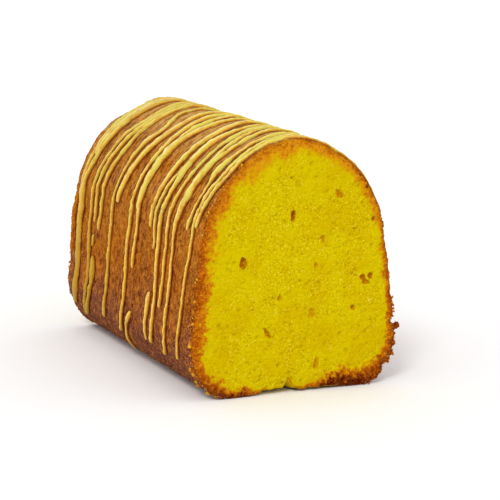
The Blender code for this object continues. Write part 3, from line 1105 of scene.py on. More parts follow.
    def runs(self) -> list[Course]:
        """The thin runs of syrup between the threads.

        Returns:
            One course for each run.
        """
        return [
            Course("c", ((98, 16.5, 0.9), (80, 17.5, 0.8), (70, 18.8, 0.6))),
            Course("t1", ((68, 18.6, 0.7), (40, 20.6, 0.7), (20, 19.5, 0.6))),
            Course("t2", ((62, 17.6, 0.6), (33, 19.8, 0.6))),
            Course("t3", ((88, 25.3, 0.8), (80, 25.3, 0.8), (71, 25.2, 0.6))),
            Course("t4", ((90, 34.0, 0.8), (76, 33.6, 0.7))),
            Course("t5", ((88, 51.0, 0.8), (73, 53.6, 0.8), (45, 54.4, 0.8), (20, 55.0, 0.6))),
            Course("t6", ((92, 73.0, 0.9), (70, 73.0, 0.7))),
            Course("t7", ((53, 71.8, 0.8), (28, 73.4, 0.8), (20, 73.6, 0.6))),
            Course("t8", ((93, 95.0, 0.9), (82, 96.2, 0.7))),
            Course("t9", ((60, 47.2, 0.7), (44, 45.8, 0.6))),
        ]

    @staticmethod
    def smooth(rows: Rows, column: int, at: float) -> float:
        """Value of one column of rising rows at a place, on a smooth curve through them.

        Args:
            rows: The rows.
            column: The column to read.
            at: The place.

        Returns:
            The column's value there.
        """
        places = [row[0] for row in rows]
        values = [row[column] for row in rows]
        slopes = np.gradient(values, places)
        index = min(max(int(np.searchsorted(places, at)) - 1, 0), len(rows) - 2)
        span = places[index + 1] - places[index]
        part = min(max((at - places[index]) / span, 0.0), 1.0)
        rise = values[index + 1] - values[index]
        bend0 = slopes[index] * span - rise
        bend1 = rise - slopes[index + 1] * span
        return values[index] + rise * part + part * (1 - part) * (bend0 * (1 - part) + bend1 * part)

    def stations(self, rows: Rows, step: float, mirrored: bool, girth: float) -> np.ndarray:
        """Places down one side of the loaf.

        Args:
            rows: The course's rows.
            step: Distance from one place to the next, in metres.
            mirrored: Whether it runs down the loaf's other side.
            girth: Length of the whole arch.

        Returns:
            Rows of place along the arch, y and width, in metres.
        """
        rising = tuple(sorted(rows))
        low, high = rising[0][0], rising[-1][0]
        count = max(math.ceil((high - low) * MM / step), 3)
        found = []
        ends = [end + sign * tip for end, sign in ((low, 1), (high, -1)) for tip in self.tip_steps]
        for at in sorted({*np.linspace(high, low, count + 1).tolist(), *ends}, reverse=True):
            shift = float(from_rows(self.drift, 1, np.array([at * MM]))[0])
            y = (self.smooth(rising, 1, at) + shift) * MM
            along = girth - at * MM if mirrored else at * MM
            found.append((along, y, self.smooth(rising, 2, at) * MM))
        return np.array(found)

    def other_flank(self, top: tuple[float, ...], draw: random.Random) -> Rows:
        """How a thread that crosses the ridge runs on down the loaf's other side.

        Args:
            top: The thread's row at the ridge.
            draw: Where its end, lean and sway are drawn from.

        Returns:
            Rows of place up the other flank, distance back and width.
        """
        _, y, width = top
        end = draw.uniform(*self.far_side_ends)
        lean = draw.uniform(-self.far_side_lean, self.far_side_lean)
        middle = (self.ridge + end) / 2
        thin = max(width * self.far_side_width, self.far_side_least)
        low_y = min(max(y + lean, self.far_side_reach[0]), self.far_side_reach[1])
        middle_y = (y + low_y) / 2 + draw.uniform(-self.far_side_sway, self.far_side_sway)
        return (top, (middle, middle_y, thin), (end, low_y, self.far_side_least))

    def courses(self, form: LoafForm, step: float) -> dict[str, np.ndarray]:
        """Stations of every thread, from its end on the other flank over the ridge where it crosses.

        Args:
            form: The loaf's form.
            step: Distance from one station to the next.

        Returns:
            Each thread's stations, by its name.
        """
        draw = random.Random(self.seed)
        found = {}
        for course in self.threads():
            here = self.stations(course.rows, step, False, form.arch_length)
            if course.crosses:
                flank = self.other_flank(course.rows[0], draw)
                there = self.stations(flank, step, True, form.arch_length)
                here = np.vstack((there[::-1], here[1:]))
            found[course.name] = here
        return found


# --------------------------------------------------------------------------------------------------------
# The pieces
# --------------------------------------------------------------------------------------------------------


@dataclass
class Crust:
    """The baked skin of sides, top and base, closed at both ends behind the cut faces."""

    form: LoafForm
    threads: dict[str, np.ndarray]
    around: int = 408
    along: int = 208
    tuck: float = 0.55 * MM
    lip: float = 0.965
    recess: float = 2.6 * MM
    jag: float = 0.5 * MM
    jag_grain: float = 1.6 * MM
    jag_pattern: float = 3.0
    relief: Swells = ((5.0 * MM, 0.16 * MM), (2.1 * MM, 0.12 * MM))
    ripple: float = 0.05 * MM
    ripple_grain: float = 2.6 * MM
    ripple_length: float = 22.0 * MM
    pits: int = 420
    pit_seed: int = 7
    pit_radius: Span = (0.7 * MM, 1.7 * MM)
    pit_depth: float = 0.28
    # Reach of the band beside each thread that is darkened, partly soaked syrup and partly painted shadow.
    damp_behind: float = 1.5 * MM
    damp_before: float = 1.7 * MM
    damp_starts: float = 0.59
    damp_stops: int = 7
    damp_nearest: int = 8
    damp_edge: float = 3.0
    damp_ragged: float = 0.3
    damp_grain: float = 2.5 * MM
    worn_through: float = 1.2 * MM
    core_height: float = 41.4 * MM

    def build(self) -> bpy.types.Object:
        """Wrap a tube on the loaf's form and give it the crust's relief.

        Returns:
            The piece, in the loaf's own frame.
        """
        piece, step_round, step_along = Workbench.tube("crust", self.around, self.along)
        along = step_round / self.around * self.form.girth
        part = step_along / self.along
        flat = self.form.outline(along)
        smooth = np.column_stack((flat[:, 0], part * LOAF_LENGTH, flat[:, 1]))
        ragged = self.tuck + self.jag * (0.5 + 0.5 * noise_at(smooth, self.jag_grain, self.jag_pattern))
        y = ragged + part * (LOAF_LENGTH - 2 * ragged)
        points = self.form.skin(along, y)
        points = self.form.raise_points(points, along, self._fine_relief(points, along))
        points = self.form.tear(points, along, y, End.SHOWN)
        points = self.form.tear(points, along, LOAF_LENGTH - y, End.FAR)
        points = self.form.shorten(points, along, np.zeros_like(along))
        worn = np.clip(self.form.lost(points) / self.worn_through, 0.0, 1.0)
        points = self.form.wear(points)
        points[:, 2] = np.clip(points[:, 2], 0.0, None)
        Workbench.set_points(piece, points)
        Workbench.store(piece, "worn", worn)
        self._map_skin(piece, along, y)
        Workbench.store(piece, "damp", self._damp(points))
        for end in End:
            self._sink_end(piece, end)
        Workbench.face_out(piece)
        return piece

    def _sink_end(self, piece: bpy.types.Object, end: End) -> None:
        """Sink the closed end behind the cut face, inside a narrow lip.

        Args:
            piece: The crust.
            end: Which end.
        """
        Workbench.pick(piece)
        inward = self.recess if end is End.SHOWN else -self.recess
        middle = LOAF_LENGTH / 2
        bpy.ops.object.mode_set(mode="EDIT")
        bpy.ops.mesh.select_mode(type="FACE")
        bpy.ops.mesh.select_all(action="DESELECT")
        bpy.ops.object.mode_set(mode="OBJECT")
        for face in piece.data.polygons:
            face.select = len(face.vertices) > 4 and (face.center.y < middle) == (end is End.SHOWN)
        bpy.ops.object.mode_set(mode="EDIT")
        bpy.ops.mesh.extrude_region_move()
        bpy.ops.transform.resize(
            value=(self.lip, 1.0, self.lip), center_override=(0.0, 0.0, self.core_height))
        bpy.ops.mesh.extrude_region_move(TRANSFORM_OT_translate={"value": (0.0, inward, 0.0)})
        bpy.ops.transform.resize(value=(1.0, 0.0, 1.0))
        bpy.ops.object.mode_set(mode="OBJECT")

    def _fine_relief(self, points: np.ndarray, along: np.ndarray) -> np.ndarray:
        """Height of the fine relief: swells, ripples that run down the flanks, and small pits.

        Args:
            points: The points, as rows of x, y and z.
            along: Their places along the arch.

        Returns:
            The height at each point.
        """
        height = np.zeros(len(points))
        for grain, depth in self.relief:
            height += depth * noise_at(points, grain)
        ripple = np.column_stack((along / self.ripple_length, points[:, 1] / self.ripple_grain, 0 * along))
        height += self.ripple * noise_at(ripple, 1.0)
        draw = np.random.default_rng(self.pit_seed)
        for _ in range(self.pits):
            centre = np.array((draw.uniform(0.0, self.form.arch_length), draw.uniform(0.0, LOAF_LENGTH)))
            radius = draw.uniform(*self.pit_radius)
            away = np.hypot(along - centre[0], points[:, 1] - centre[1]) / radius
            height -= self.pit_depth * radius * np.clip(1.0 - away**2, 0.0, None)
        base = along > self.form.arch_length
        return np.where(base, -np.abs(height), height)

    def _map_skin(self, piece: bpy.types.Object, along: np.ndarray, y: np.ndarray) -> None:
        """Lay a UV map along the skin: length up the arch and length of the loaf, both in metres.

        Args:
            piece: The crust.
            along: Each point's place along the arch.
            y: Each point's place along the loaf.
        """
        layer = piece.data.uv_layers.new(name="skin")
        corners = np.empty(len(piece.data.loops), dtype=int)
        piece.data.loops.foreach_get("vertex_index", corners)
        starts = np.empty(len(piece.data.polygons), dtype=int)
        piece.data.polygons.foreach_get("loop_start", starts)
        sizes = np.empty(len(piece.data.polygons), dtype=int)
        piece.data.polygons.foreach_get("loop_total", sizes)
        u = along[corners]
        face = np.repeat(np.arange(len(sizes)), sizes)
        widest = np.maximum.reduceat(u, starts)[face]
        u = np.where(widest - u > self.form.girth / 2, u + self.form.girth, u)
        layer.data.foreach_set("uv", np.column_stack((u, y[corners])).ravel())

    def _damp(self, points: np.ndarray) -> np.ndarray:
        """How far the crust is darkened beside the threads, partly soaked syrup and partly painted shadow: 1
        in a narrow band on both sides of each thread, its tips aside.

        Args:
            points: The points, as rows of x, y and z.

        Returns:
            A number of 0 to 1 for each point.
        """
        stations = np.vstack([rows[self.damp_stops:-self.damp_stops] for rows in self.threads.values()])
        centres = self.form.skin(stations[:, 0], stations[:, 1])
        tree = KDTree(len(centres))
        for index, centre in enumerate(centres):
            tree.insert(Vector(centre), index)
        tree.balance()
        ragged = 1.0 + self.damp_ragged * noise_at(points, self.damp_grain)
        damp = np.zeros(len(points))
        for number, point in enumerate(points):
            for _, index, away in tree.find_n(Vector(point), self.damp_nearest):
                behind = point[1] > centres[index, 1]
                reach = (self.damp_behind if behind else self.damp_before) * ragged[number]
                clear = (away - self.damp_starts * stations[index, 2]) / reach
                soak_shadow = self.damp_edge - self.damp_edge * clear
                damp[number] = max(damp[number], min(soak_shadow, 1.0))
        return np.clip(damp, 0.0, 1.0)


@dataclass(frozen=True)
class Hole:
    """A larger hole of the crumb."""

    x: float
    z: float
    half_width: float
    half_height: float
    depth: float
    lean: float


@dataclass
class CutFace:
    """The thin front of a cut end, with the crumb's holes, pores and rough rim."""

    form: LoafForm
    end: End
    holes: tuple[Hole, ...]
    seed: int
    around: int = 360
    inset: float = 0.22 * MM
    thickness: float = 4.2 * MM
    kept: float = 3.2 * MM
    voxel: float = 0.34 * MM
    relief: Swells = (
        (6.5 * MM, 0.30 * MM), (2.3 * MM, 0.20 * MM), (1.15 * MM, 0.22 * MM), (0.7 * MM, 0.10 * MM),
    )
    pores: int = 1100
    pore_radius: Span = (0.3 * MM, 0.85 * MM)
    pore_depth: float = 0.6
    lobes: int = 4
    hole_voxel: float = 0.15 * MM
    hole_fray: float = 0.55 * MM
    hole_grain: float = 0.8 * MM
    hole_pattern: float = 20.0
    hollow_starts: float = 0.15 * MM
    hollow_full: float = 1.0 * MM
    hollow_inset: float = 1.0 * MM
    lobe_pattern: float = 10.0
    lobe_relief: Swells = ((0.9, 0.35), (0.4, 0.3))
    lobe_reach: float = 0.55
    lobe_size: Span = (0.55, 0.85)
    crags: Swells = ((2.0 * MM, 0.6 * MM), (1.0 * MM, 0.45 * MM))
    crag_reach: float = 4.5 * MM
    crag_pattern: float = 7.0
    crumble: Span = (0.45, 0.8)
    crumble_grain: float = 1.7 * MM
    crumble_pattern: float = 5.0
    deep: float = 0.9 * MM
    rim_drop: float = 0.7 * MM
    rim_reach: float = 0.9 * MM
    rim_samples: int = 1600
    rind_waver: float = 0.35
    rind_grain: float = 6.0 * MM
    rind_pattern: float = 9.0
    rim: Rows = (
        (0, 5.6, 0.92), (14, 5.4, 0.84), (30, 5.6, 0.74), (50, 5.6, 0.6), (70, 5.6, 0.5), (85, 7.0, 0.35),
        (100, 7.4, 0.3), (110, 6.4, 0.22), (118.7, 6.2, 0.15), (124, 5.4, 0.15), (130, 4.4, 0.15),
        (140, 3.8, 0.2), (152, 3.4, 0.3), (166, 3.2, 0.4), (180, 2.7, 0.5), (196, 2.6, 0.6), (206, 3.4, 0.75),
        (216, 4.6, 0.84), (224, 6.2, 0.86), (232, 6.8, 0.88), (237.4, 7.8, 1.0), (243, 8.6, 1.0),
        (250, 6.4, 1.0), (255, 2.4, 0.7), (262, 0.7, 0.4), (272, 0.5, 0.4), (277, 2.4, 0.7),
        (281, 4.6, 0.9), (287, 5.0, 0.92),
    )
    far_rim: Rows = (
        (0, 5.2, 0.85), (16, 4.6, 0.75), (50, 4.2, 0.5), (85, 5.4, 0.35), (105, 6.2, 0.2), (125, 5.2, 0.2),
        (150, 4.4, 0.35), (190, 3.6, 0.5), (220, 4.6, 0.75), (237.4, 5.4, 0.9), (250, 3.6, 0.8),
        (262, 3.0, 0.7), (276, 3.8, 0.8), (287, 5.2, 0.85),
    )

    def build(self) -> bpy.types.Object:
        """Cut the slab's holes, remesh it finely, then roughen it and tint its rim.

        Returns:
            The piece, in the loaf's own frame.
        """
        piece = self._blank()
        self._cut_holes(piece)
        Workbench.apply(piece, "REMESH", mode="VOXEL", voxel_size=self.voxel)
        self._drop_back(piece)
        points = Workbench.points(piece)
        hollow = np.clip((points[:, 1] - self.hollow_starts) / self.hollow_full, 0.0, 1.0)
        along, inward = self._rim_place(points)
        hollow *= np.clip((inward - self.hollow_inset) / self.hollow_full, 0.0, 1.0)
        front = np.clip(1.0 - points[:, 1] / self.kept, 0.0, 1.0)
        back = self._roughness(points, inward)
        for axis in (0, 2):
            pattern = self.hole_pattern * axis
            points[:, axis] += self.hole_fray * hollow * noise_at(points, self.hole_grain, pattern)
        Workbench.store(piece, "depth", np.clip(back / self.deep, 0.0, 1.0))
        points[:, 1] += front * back
        Workbench.set_points(piece, self._place(points, along, inward))
        self._tint(piece, points, along, inward, hollow)
        Workbench.face_out(piece)
        return piece

    def _blank(self) -> bpy.types.Object:
        """A slab of the loaf's section, a little inside the crust, from Y = 0 back.

        Returns:
            The slab.
        """
        Workbench.deselect()
        bpy.ops.mesh.primitive_circle_add(
            vertices=self.around, radius=1.0, fill_type="NGON", rotation=(math.pi / 2, 0.0, 0.0))
        piece = bpy.context.active_object
        piece.name = f"crumb_{self.end.value}"
        bpy.ops.object.transform_apply(location=True, rotation=True, scale=True)
        points = Workbench.points(piece)
        turn = np.arctan2(points[:, 2], points[:, 0]) % (2 * math.pi)
        along = turn / (2 * math.pi) * self.form.girth
        y = LOAF_LENGTH if self.end is End.FAR else 0.0
        skin = self.form.skin(along, np.full(len(along), y))
        skin = self.form.tear(skin, along, np.zeros(len(along)), self.end)
        skin = self.form.raise_points(skin, along, np.full(len(along), -self.inset))
        skin[:, 1] = 0.0
        Workbench.set_points(piece, skin)
        bpy.ops.object.mode_set(mode="EDIT")
        bpy.ops.mesh.select_all(action="SELECT")
        bpy.ops.mesh.extrude_region_move(TRANSFORM_OT_translate={"value": (0.0, self.thickness, 0.0)})
        bpy.ops.mesh.select_all(action="SELECT")
        bpy.ops.mesh.normals_make_consistent(inside=False)
        bpy.ops.object.mode_set(mode="OBJECT")
        return piece

    def _cut_holes(self, piece: bpy.types.Object) -> None:
        """Cut the larger holes with uneven balls.

        Args:
            piece: The slab.
        """
        draw = random.Random(self.seed)
        cutters = []
        for hole in self.holes:
            for _ in range(self.lobes):
                cutters.append(self._lobe(hole, self.lobe_pattern * len(cutters) + self.seed, draw))
        tool = Workbench.join(cutters, "holes")
        Workbench.apply(tool, "REMESH", mode="VOXEL", voxel_size=self.hole_voxel)
        Workbench.apply(piece, "BOOLEAN", operation="DIFFERENCE", solver="EXACT", object=tool)
        bpy.data.objects.remove(tool, do_unlink=True)

    def _lobe(self, hole: Hole, pattern: float, draw: random.Random) -> bpy.types.Object:
        """One uneven ball of a hole's cutter.

        Args:
            hole: The hole.
            pattern: Shift of its unevenness.
            draw: Where its place and size are drawn.

        Returns:
            The ball.
        """
        Workbench.deselect()
        bpy.ops.mesh.primitive_ico_sphere_add(subdivisions=4, radius=1.0)
        cutter = bpy.context.active_object
        ball = Workbench.points(cutter)
        uneven = np.ones(len(ball))
        for grain, depth in self.lobe_relief:
            uneven += depth * noise_at(ball, grain, pattern)
        part = draw.uniform(*self.lobe_size)
        ball = ball * uneven[:, None] * part
        ball[:, 0] += draw.uniform(-self.lobe_reach, self.lobe_reach)
        ball[:, 2] += draw.uniform(-self.lobe_reach, self.lobe_reach)
        ball = ball * np.array((hole.half_width, hole.depth / part, hole.half_height)) * MM
        lean = math.radians(hole.lean)
        x = ball[:, 0] * math.cos(lean) + ball[:, 2] * math.sin(lean)
        z = ball[:, 2] * math.cos(lean) - ball[:, 0] * math.sin(lean)
        Workbench.set_points(cutter, np.column_stack((x + hole.x * MM, ball[:, 1], z + hole.z * MM)))
        return cutter

    def _drop_back(self, piece: bpy.types.Object) -> None:
        """Cut away the slab's hidden back and close it flat.

        Args:
            piece: The slab.
        """
        Workbench.pick(piece)
        bpy.ops.object.mode_set(mode="EDIT")
        bpy.ops.mesh.select_all(action="SELECT")
        bpy.ops.mesh.bisect(plane_co=(0.0, self.kept, 0.0), plane_no=(0.0, 1.0, 0.0), use_fill=True,
                            clear_outer=True)
        bpy.ops.object.mode_set(mode="OBJECT")

    def _rim_place(self, points: np.ndarray) -> tuple[np.ndarray, np.ndarray]:
        """Nearest place of the outline to each point, and the distance in from it.

        Args:
            points: The points, as rows of x, y and z.

        Returns:
            The place along the outline and the distance of each point.
        """
        places = np.linspace(0.0, self.form.girth, self.rim_samples, endpoint=False)
        outline = self.form.outline(places)
        tree = KDTree(len(places))
        for index, (x, z) in enumerate(outline):
            tree.insert(Vector((x, 0.0, z)), index)
        tree.balance()
        along = np.empty(len(points))
        inward = np.empty(len(points))
        for number, (x, _, z) in enumerate(points):
            _, index, away = tree.find(Vector((x, 0.0, z)))
            along[number] = places[index]
            inward[number] = away
        return along, inward

    def _roughness(self, points: np.ndarray, inward: np.ndarray) -> np.ndarray:
        """How far each point of the face lies back: uneven crumb, pores and the rubbed rim.

        Args:
            points: The points, as rows of x, y and z.
            inward: Their distances in from the skin.

        Returns:
            The distance back of each point.
        """
        flat = points * (1.0, 0.0, 1.0)
        back = np.zeros(len(points))
        for grain, depth in self.relief:
            back += depth * noise_at(flat, grain, self.seed)
        draw = np.random.default_rng(self.seed)
        low, high = points.min(axis=0), points.max(axis=0)
        for _ in range(self.pores):
            x, z = draw.uniform(low[0], high[0]), draw.uniform(low[2], high[2])
            radius = draw.uniform(*self.pore_radius)
            away = np.hypot(points[:, 0] - x, points[:, 2] - z) / radius
            back += self.pore_depth * radius * np.clip(1.0 - away**2, 0.0, None)
        near_rim = np.exp(-((inward / self.crag_reach) ** 2))
        for grain, depth in self.crags:
            back += depth * np.abs(noise_at(flat, grain, self.seed + self.crag_pattern)) * near_rim
        least, more = self.crumble
        crumble = least + more * np.abs(noise_at(flat, self.crumble_grain, self.seed + self.crumble_pattern))
        return back + self.rim_drop * crumble * np.exp(-inward / self.rim_reach)

    def _place(self, points: np.ndarray, along: np.ndarray, inward: np.ndarray) -> np.ndarray:
        """Put the slab at its own end of the loaf, with that end's wear.

        Args:
            points: The points, as rows of x, y and z.
            along: Their places along the arch.
            inward: Their distances in from the skin.

        Returns:
            The placed points.
        """
        if self.end is End.SHOWN:
            return self.form.wear(points)
        placed = points.copy()
        placed[:, 1] = LOAF_LENGTH - points[:, 1]
        return self.form.shorten(placed, along, inward)

    def _tint(self, piece: bpy.types.Object, points: np.ndarray, along: np.ndarray, inward: np.ndarray,
              hollow: np.ndarray) -> None:
        """Store how far the rind reaches, how dark it is and where the hollows are.

        Args:
            piece: The piece.
            points: The points, as rows of x, y and z.
            along: Their places along the arch.
            inward: Their distances in from the skin.
            hollow: How far each point lies in a hollow, 0 to 1.
        """
        rows = self.rim if self.end is End.SHOWN else self.far_rim
        reach = from_rows(rows, 1, along) * MM
        flat = points * (1.0, 0.0, 1.0)
        reach *= 1.0 + self.rind_waver * noise_at(flat, self.rind_grain, self.seed + self.rind_pattern)
        Workbench.store(piece, "rind", np.clip(1.0 - inward / reach, -1.0, 1.0))
        Workbench.store(piece, "char", from_rows(rows, 2, along))
        Workbench.store(piece, "hollow", hollow)


@dataclass(frozen=True)
class Section:
    """A thread's section: rows of side (half widths), side (mm), rise (parts), height (mm) and tone, the
    painted light and shade round it.
    """

    rows: Rows

    @property
    def around(self) -> int:
        """Points round the section."""
        return len(self.rows)

    def spread(self, width: np.ndarray, rise: np.ndarray, point: np.ndarray) -> tuple[np.ndarray, np.ndarray]:
        """Sideways and outward places of points.

        Args:
            width: Width of the thread at each point.
            rise: Height of the thread at each point.
            point: Which row each point is.

        Returns:
            The two distances of each point from the thread's middle on the skin.
        """
        table = np.array(self.rows)[point]
        return table[:, 0] * width / 2 + table[:, 1] * MM, table[:, 2] * rise + table[:, 3] * MM

    def painted_shading(self, point: np.ndarray) -> np.ndarray:
        """Tone of each point, the painted light and shade round the section."""
        return np.array(self.rows)[point, 4]


# Tones round the cord, from its dark skirt (0) to its crown (1), paint its light and shade: a painted
# highlight on the crown, painted shade down the flanks, lighter on one flank than the other, and a dark skirt
# that is partly soaked syrup and partly painted shadow.
CORD = Section((
    (1.0, 0.62, 0.0, -0.10, 0.0), (1.0, 0.40, 0.0, 0.22, 0.0), (1.0, 0.02, 0.0, 0.24, 0.0),
    (0.86, 0.0, 0.50, 0.0, 0.30), (0.64, 0.0, 0.80, 0.0, 0.65), (0.34, 0.0, 0.97, 0.0, 1.0),
    (0.0, 0.0, 1.0, 0.0, 1.0), (-0.34, 0.0, 0.93, 0.0, 0.8), (-0.64, 0.0, 0.74, 0.0, 0.52),
    (-0.86, 0.0, 0.44, 0.0, 0.32), (-1.0, 0.0, 0.08, 0.0, 0.18), (-0.9, 0.0, 0.0, -0.4, 0.2),
    (-0.5, 0.0, 0.0, -0.6, 0.2), (0.0, 0.0, 0.0, -0.6, 0.2), (0.5, 0.0, 0.0, -0.6, 0.2),
    (1.0, 0.3, 0.0, -0.45, 0.0),
))
FILM = Section((
    (1.0, 0.0, 0.0, 0.0, 0.3), (0.7, 0.0, 0.7, 0.0, 0.6), (0.0, 0.0, 1.0, 0.0, 1.0),
    (-0.7, 0.0, 0.7, 0.0, 0.6), (-1.0, 0.0, 0.0, 0.0, 0.3), (-0.7, 0.0, 0.0, -0.3, 0.0),
    (0.0, 0.0, 0.0, -0.4, 0.0), (0.7, 0.0, 0.0, -0.3, 0.0),
))


@dataclass
class Threads:
    """Threads laid on the skin: half sunk tubes whose width and height waver."""

    name: str
    form: LoafForm
    courses: dict[str, np.ndarray]
    section: Section = CORD
    base_lift: float = 0.3 * MM
    lift: float = 0.24
    most_lift: float = 0.95 * MM
    broader: float = 1.18
    waver: float = 0.22
    waver_grain: float = 5.0 * MM
    rise_pattern: float = 50.0
    lump: float = 0.22
    lump_grain: float = 1.9 * MM
    stray: float = 0.22 * MM
    stray_grain: float = 0.8
    stray_pattern: float = 90.0
    fray: float = 0.08 * MM
    fray_grain: float = 0.9 * MM
    blunt: float = 0.12
    tip: float = 0.6

    def build(self) -> bpy.types.Object:
        """Make all threads as one piece.

        Returns:
            The piece, in the loaf's own frame.
        """
        tubes = [self._thread(name, stations) for name, stations in self.courses.items()]
        piece = Workbench.join(tubes, self.name)
        Workbench.face_out(piece)
        return piece

    def _thread(self, name: str, stations: np.ndarray) -> bpy.types.Object:
        """One thread: a tube wrapped on its course, round at both ends.

        Args:
            name: The thread's name, which also picks its pattern of unevenness.
            stations: Its stations, as rows of place along the arch, y and width.

        Returns:
            The tube.
        """
        around = self.section.around
        piece, point, ring = Workbench.tube(f"{self.name}_{name}", around, len(stations) - 1)
        centres = self.form.skin(stations[:, 0], stations[:, 1])
        flat = self.form.normals(stations[:, 0])
        normal = np.column_stack((flat[:, 0], np.zeros(len(flat)), flat[:, 1]))
        heading = np.gradient(centres, axis=0)
        across = np.cross(heading, normal)
        across /= np.linalg.norm(across, axis=1, keepdims=True)
        own = float(sum(map(ord, name)))
        slow = noise_at(centres, self.waver_grain, own)
        quick = noise_at(centres, self.lump_grain, own)
        width = self.broader * stations[:, 2] * (1.0 + self.waver * slow + self.lump * quick)
        rise = np.minimum(self.base_lift + self.lift * width, self.most_lift)
        uneven = noise_at(centres, self.waver_grain, own + self.rise_pattern)
        rise *= 1.0 + self.waver * uneven + self.lump * quick
        stray = noise_at(centres, self.stray_grain * self.waver_grain, own + self.stray_pattern)
        centres = centres + across * (self.stray * stray)[:, None]
        scale = self._taper(centres, width)
        side, height = self.section.spread(width[ring], rise[ring], point)
        side *= scale[ring]
        height = np.where(height > 0.0, height * scale[ring], height)
        points = centres[ring] + across[ring] * side[:, None] + normal[ring] * height[:, None]
        rough = self.fray * noise_at(points, self.fray_grain, own) * (height > 0.0)
        points += normal[ring] * rough[:, None] + across[ring] * rough[:, None]
        Workbench.set_points(piece, points)
        # Tone round the section, which the icing paints as highlight and shade.
        Workbench.store(piece, "tone", self.section.painted_shading(point))
        return piece

    def _taper(self, centres: np.ndarray, width: np.ndarray) -> np.ndarray:
        """How full the thread is at each station: 1, and rounded off at both ends.

        Args:
            centres: The thread's middle at each station.
            width: Its width there.

        Returns:
            The part of its full size at each station.
        """
        gone = np.linalg.norm(np.diff(centres, axis=0), axis=1)
        run = np.concatenate(([0.0], np.cumsum(gone)))
        to_end = np.minimum(run, run[-1] - run)
        part = np.clip(to_end / (self.tip * width), 0.0, 1.0)
        return np.maximum(np.sqrt(1.0 - (1.0 - part) ** 2), self.blunt)


@dataclass(frozen=True)
class Spot:
    """Where one loose bit lies: place along the arch, distance back, size and how far it stands out."""

    along: float
    back: float
    size: float
    out: float = 0.2


@dataclass
class Bits:
    """Small uneven bits of one kind, each modelled from a ball."""

    name: str
    form: LoafForm
    spots: list[Spot]
    flatness: float
    seed: int
    jagged: float = 0.35
    detail: int = 2
    grain: float = 0.8
    pattern: float = 7.0
    width: Span = (0.8, 1.3)
    length: Span = (0.7, 1.1)
    lean: Span = (-0.5, 0.5)

    def build(self) -> bpy.types.Object:
        """Model each bit and join them into one piece.

        Returns:
            The piece, in the loaf's own frame.
        """
        draw = random.Random(self.seed)
        bits = [self._bit(number, spot, draw) for number, spot in enumerate(self.spots)]
        piece = Workbench.join(bits, self.name)
        Workbench.face_out(piece)
        return piece

    def _bit(self, number: int, spot: Spot, draw: random.Random) -> bpy.types.Object:
        """One bit, pushed out of round and set on the skin.

        Args:
            number: Its number, which picks its pattern.
            spot: Where it lies.
            draw: Where its sizes and turn are drawn from.

        Returns:
            The bit.
        """
        Workbench.deselect()
        bpy.ops.mesh.primitive_ico_sphere_add(subdivisions=self.detail, radius=1.0)
        piece = bpy.context.active_object
        ball = Workbench.points(piece)
        ball *= (1.0 + self.jagged * noise_at(ball, self.grain, self.pattern * number + self.seed))[:, None]
        size = spot.size * MM
        ball *= (size * draw.uniform(*self.width), size * draw.uniform(*self.length), size * self.flatness)
        turn = Euler((draw.uniform(*self.lean), draw.uniform(*self.lean), draw.uniform(0.0, 2 * math.pi)))
        ball = ball @ np.array(turn.to_matrix()).T
        along = np.array([spot.along * MM])
        normal = self.form.normals(along)[0]
        out = Vector((normal[0], 0.0, normal[1]))
        basis = np.array(out.to_track_quat("Z", "Y").to_matrix())
        centre = self.form.rim_skin(along, np.array([spot.back * MM]))[0]
        centre = centre + np.array(out) * spot.out * size
        placed = ball @ basis.T + centre
        placed[:, 2] = np.clip(placed[:, 2], 0.0, None)
        Workbench.set_points(piece, placed)
        return piece


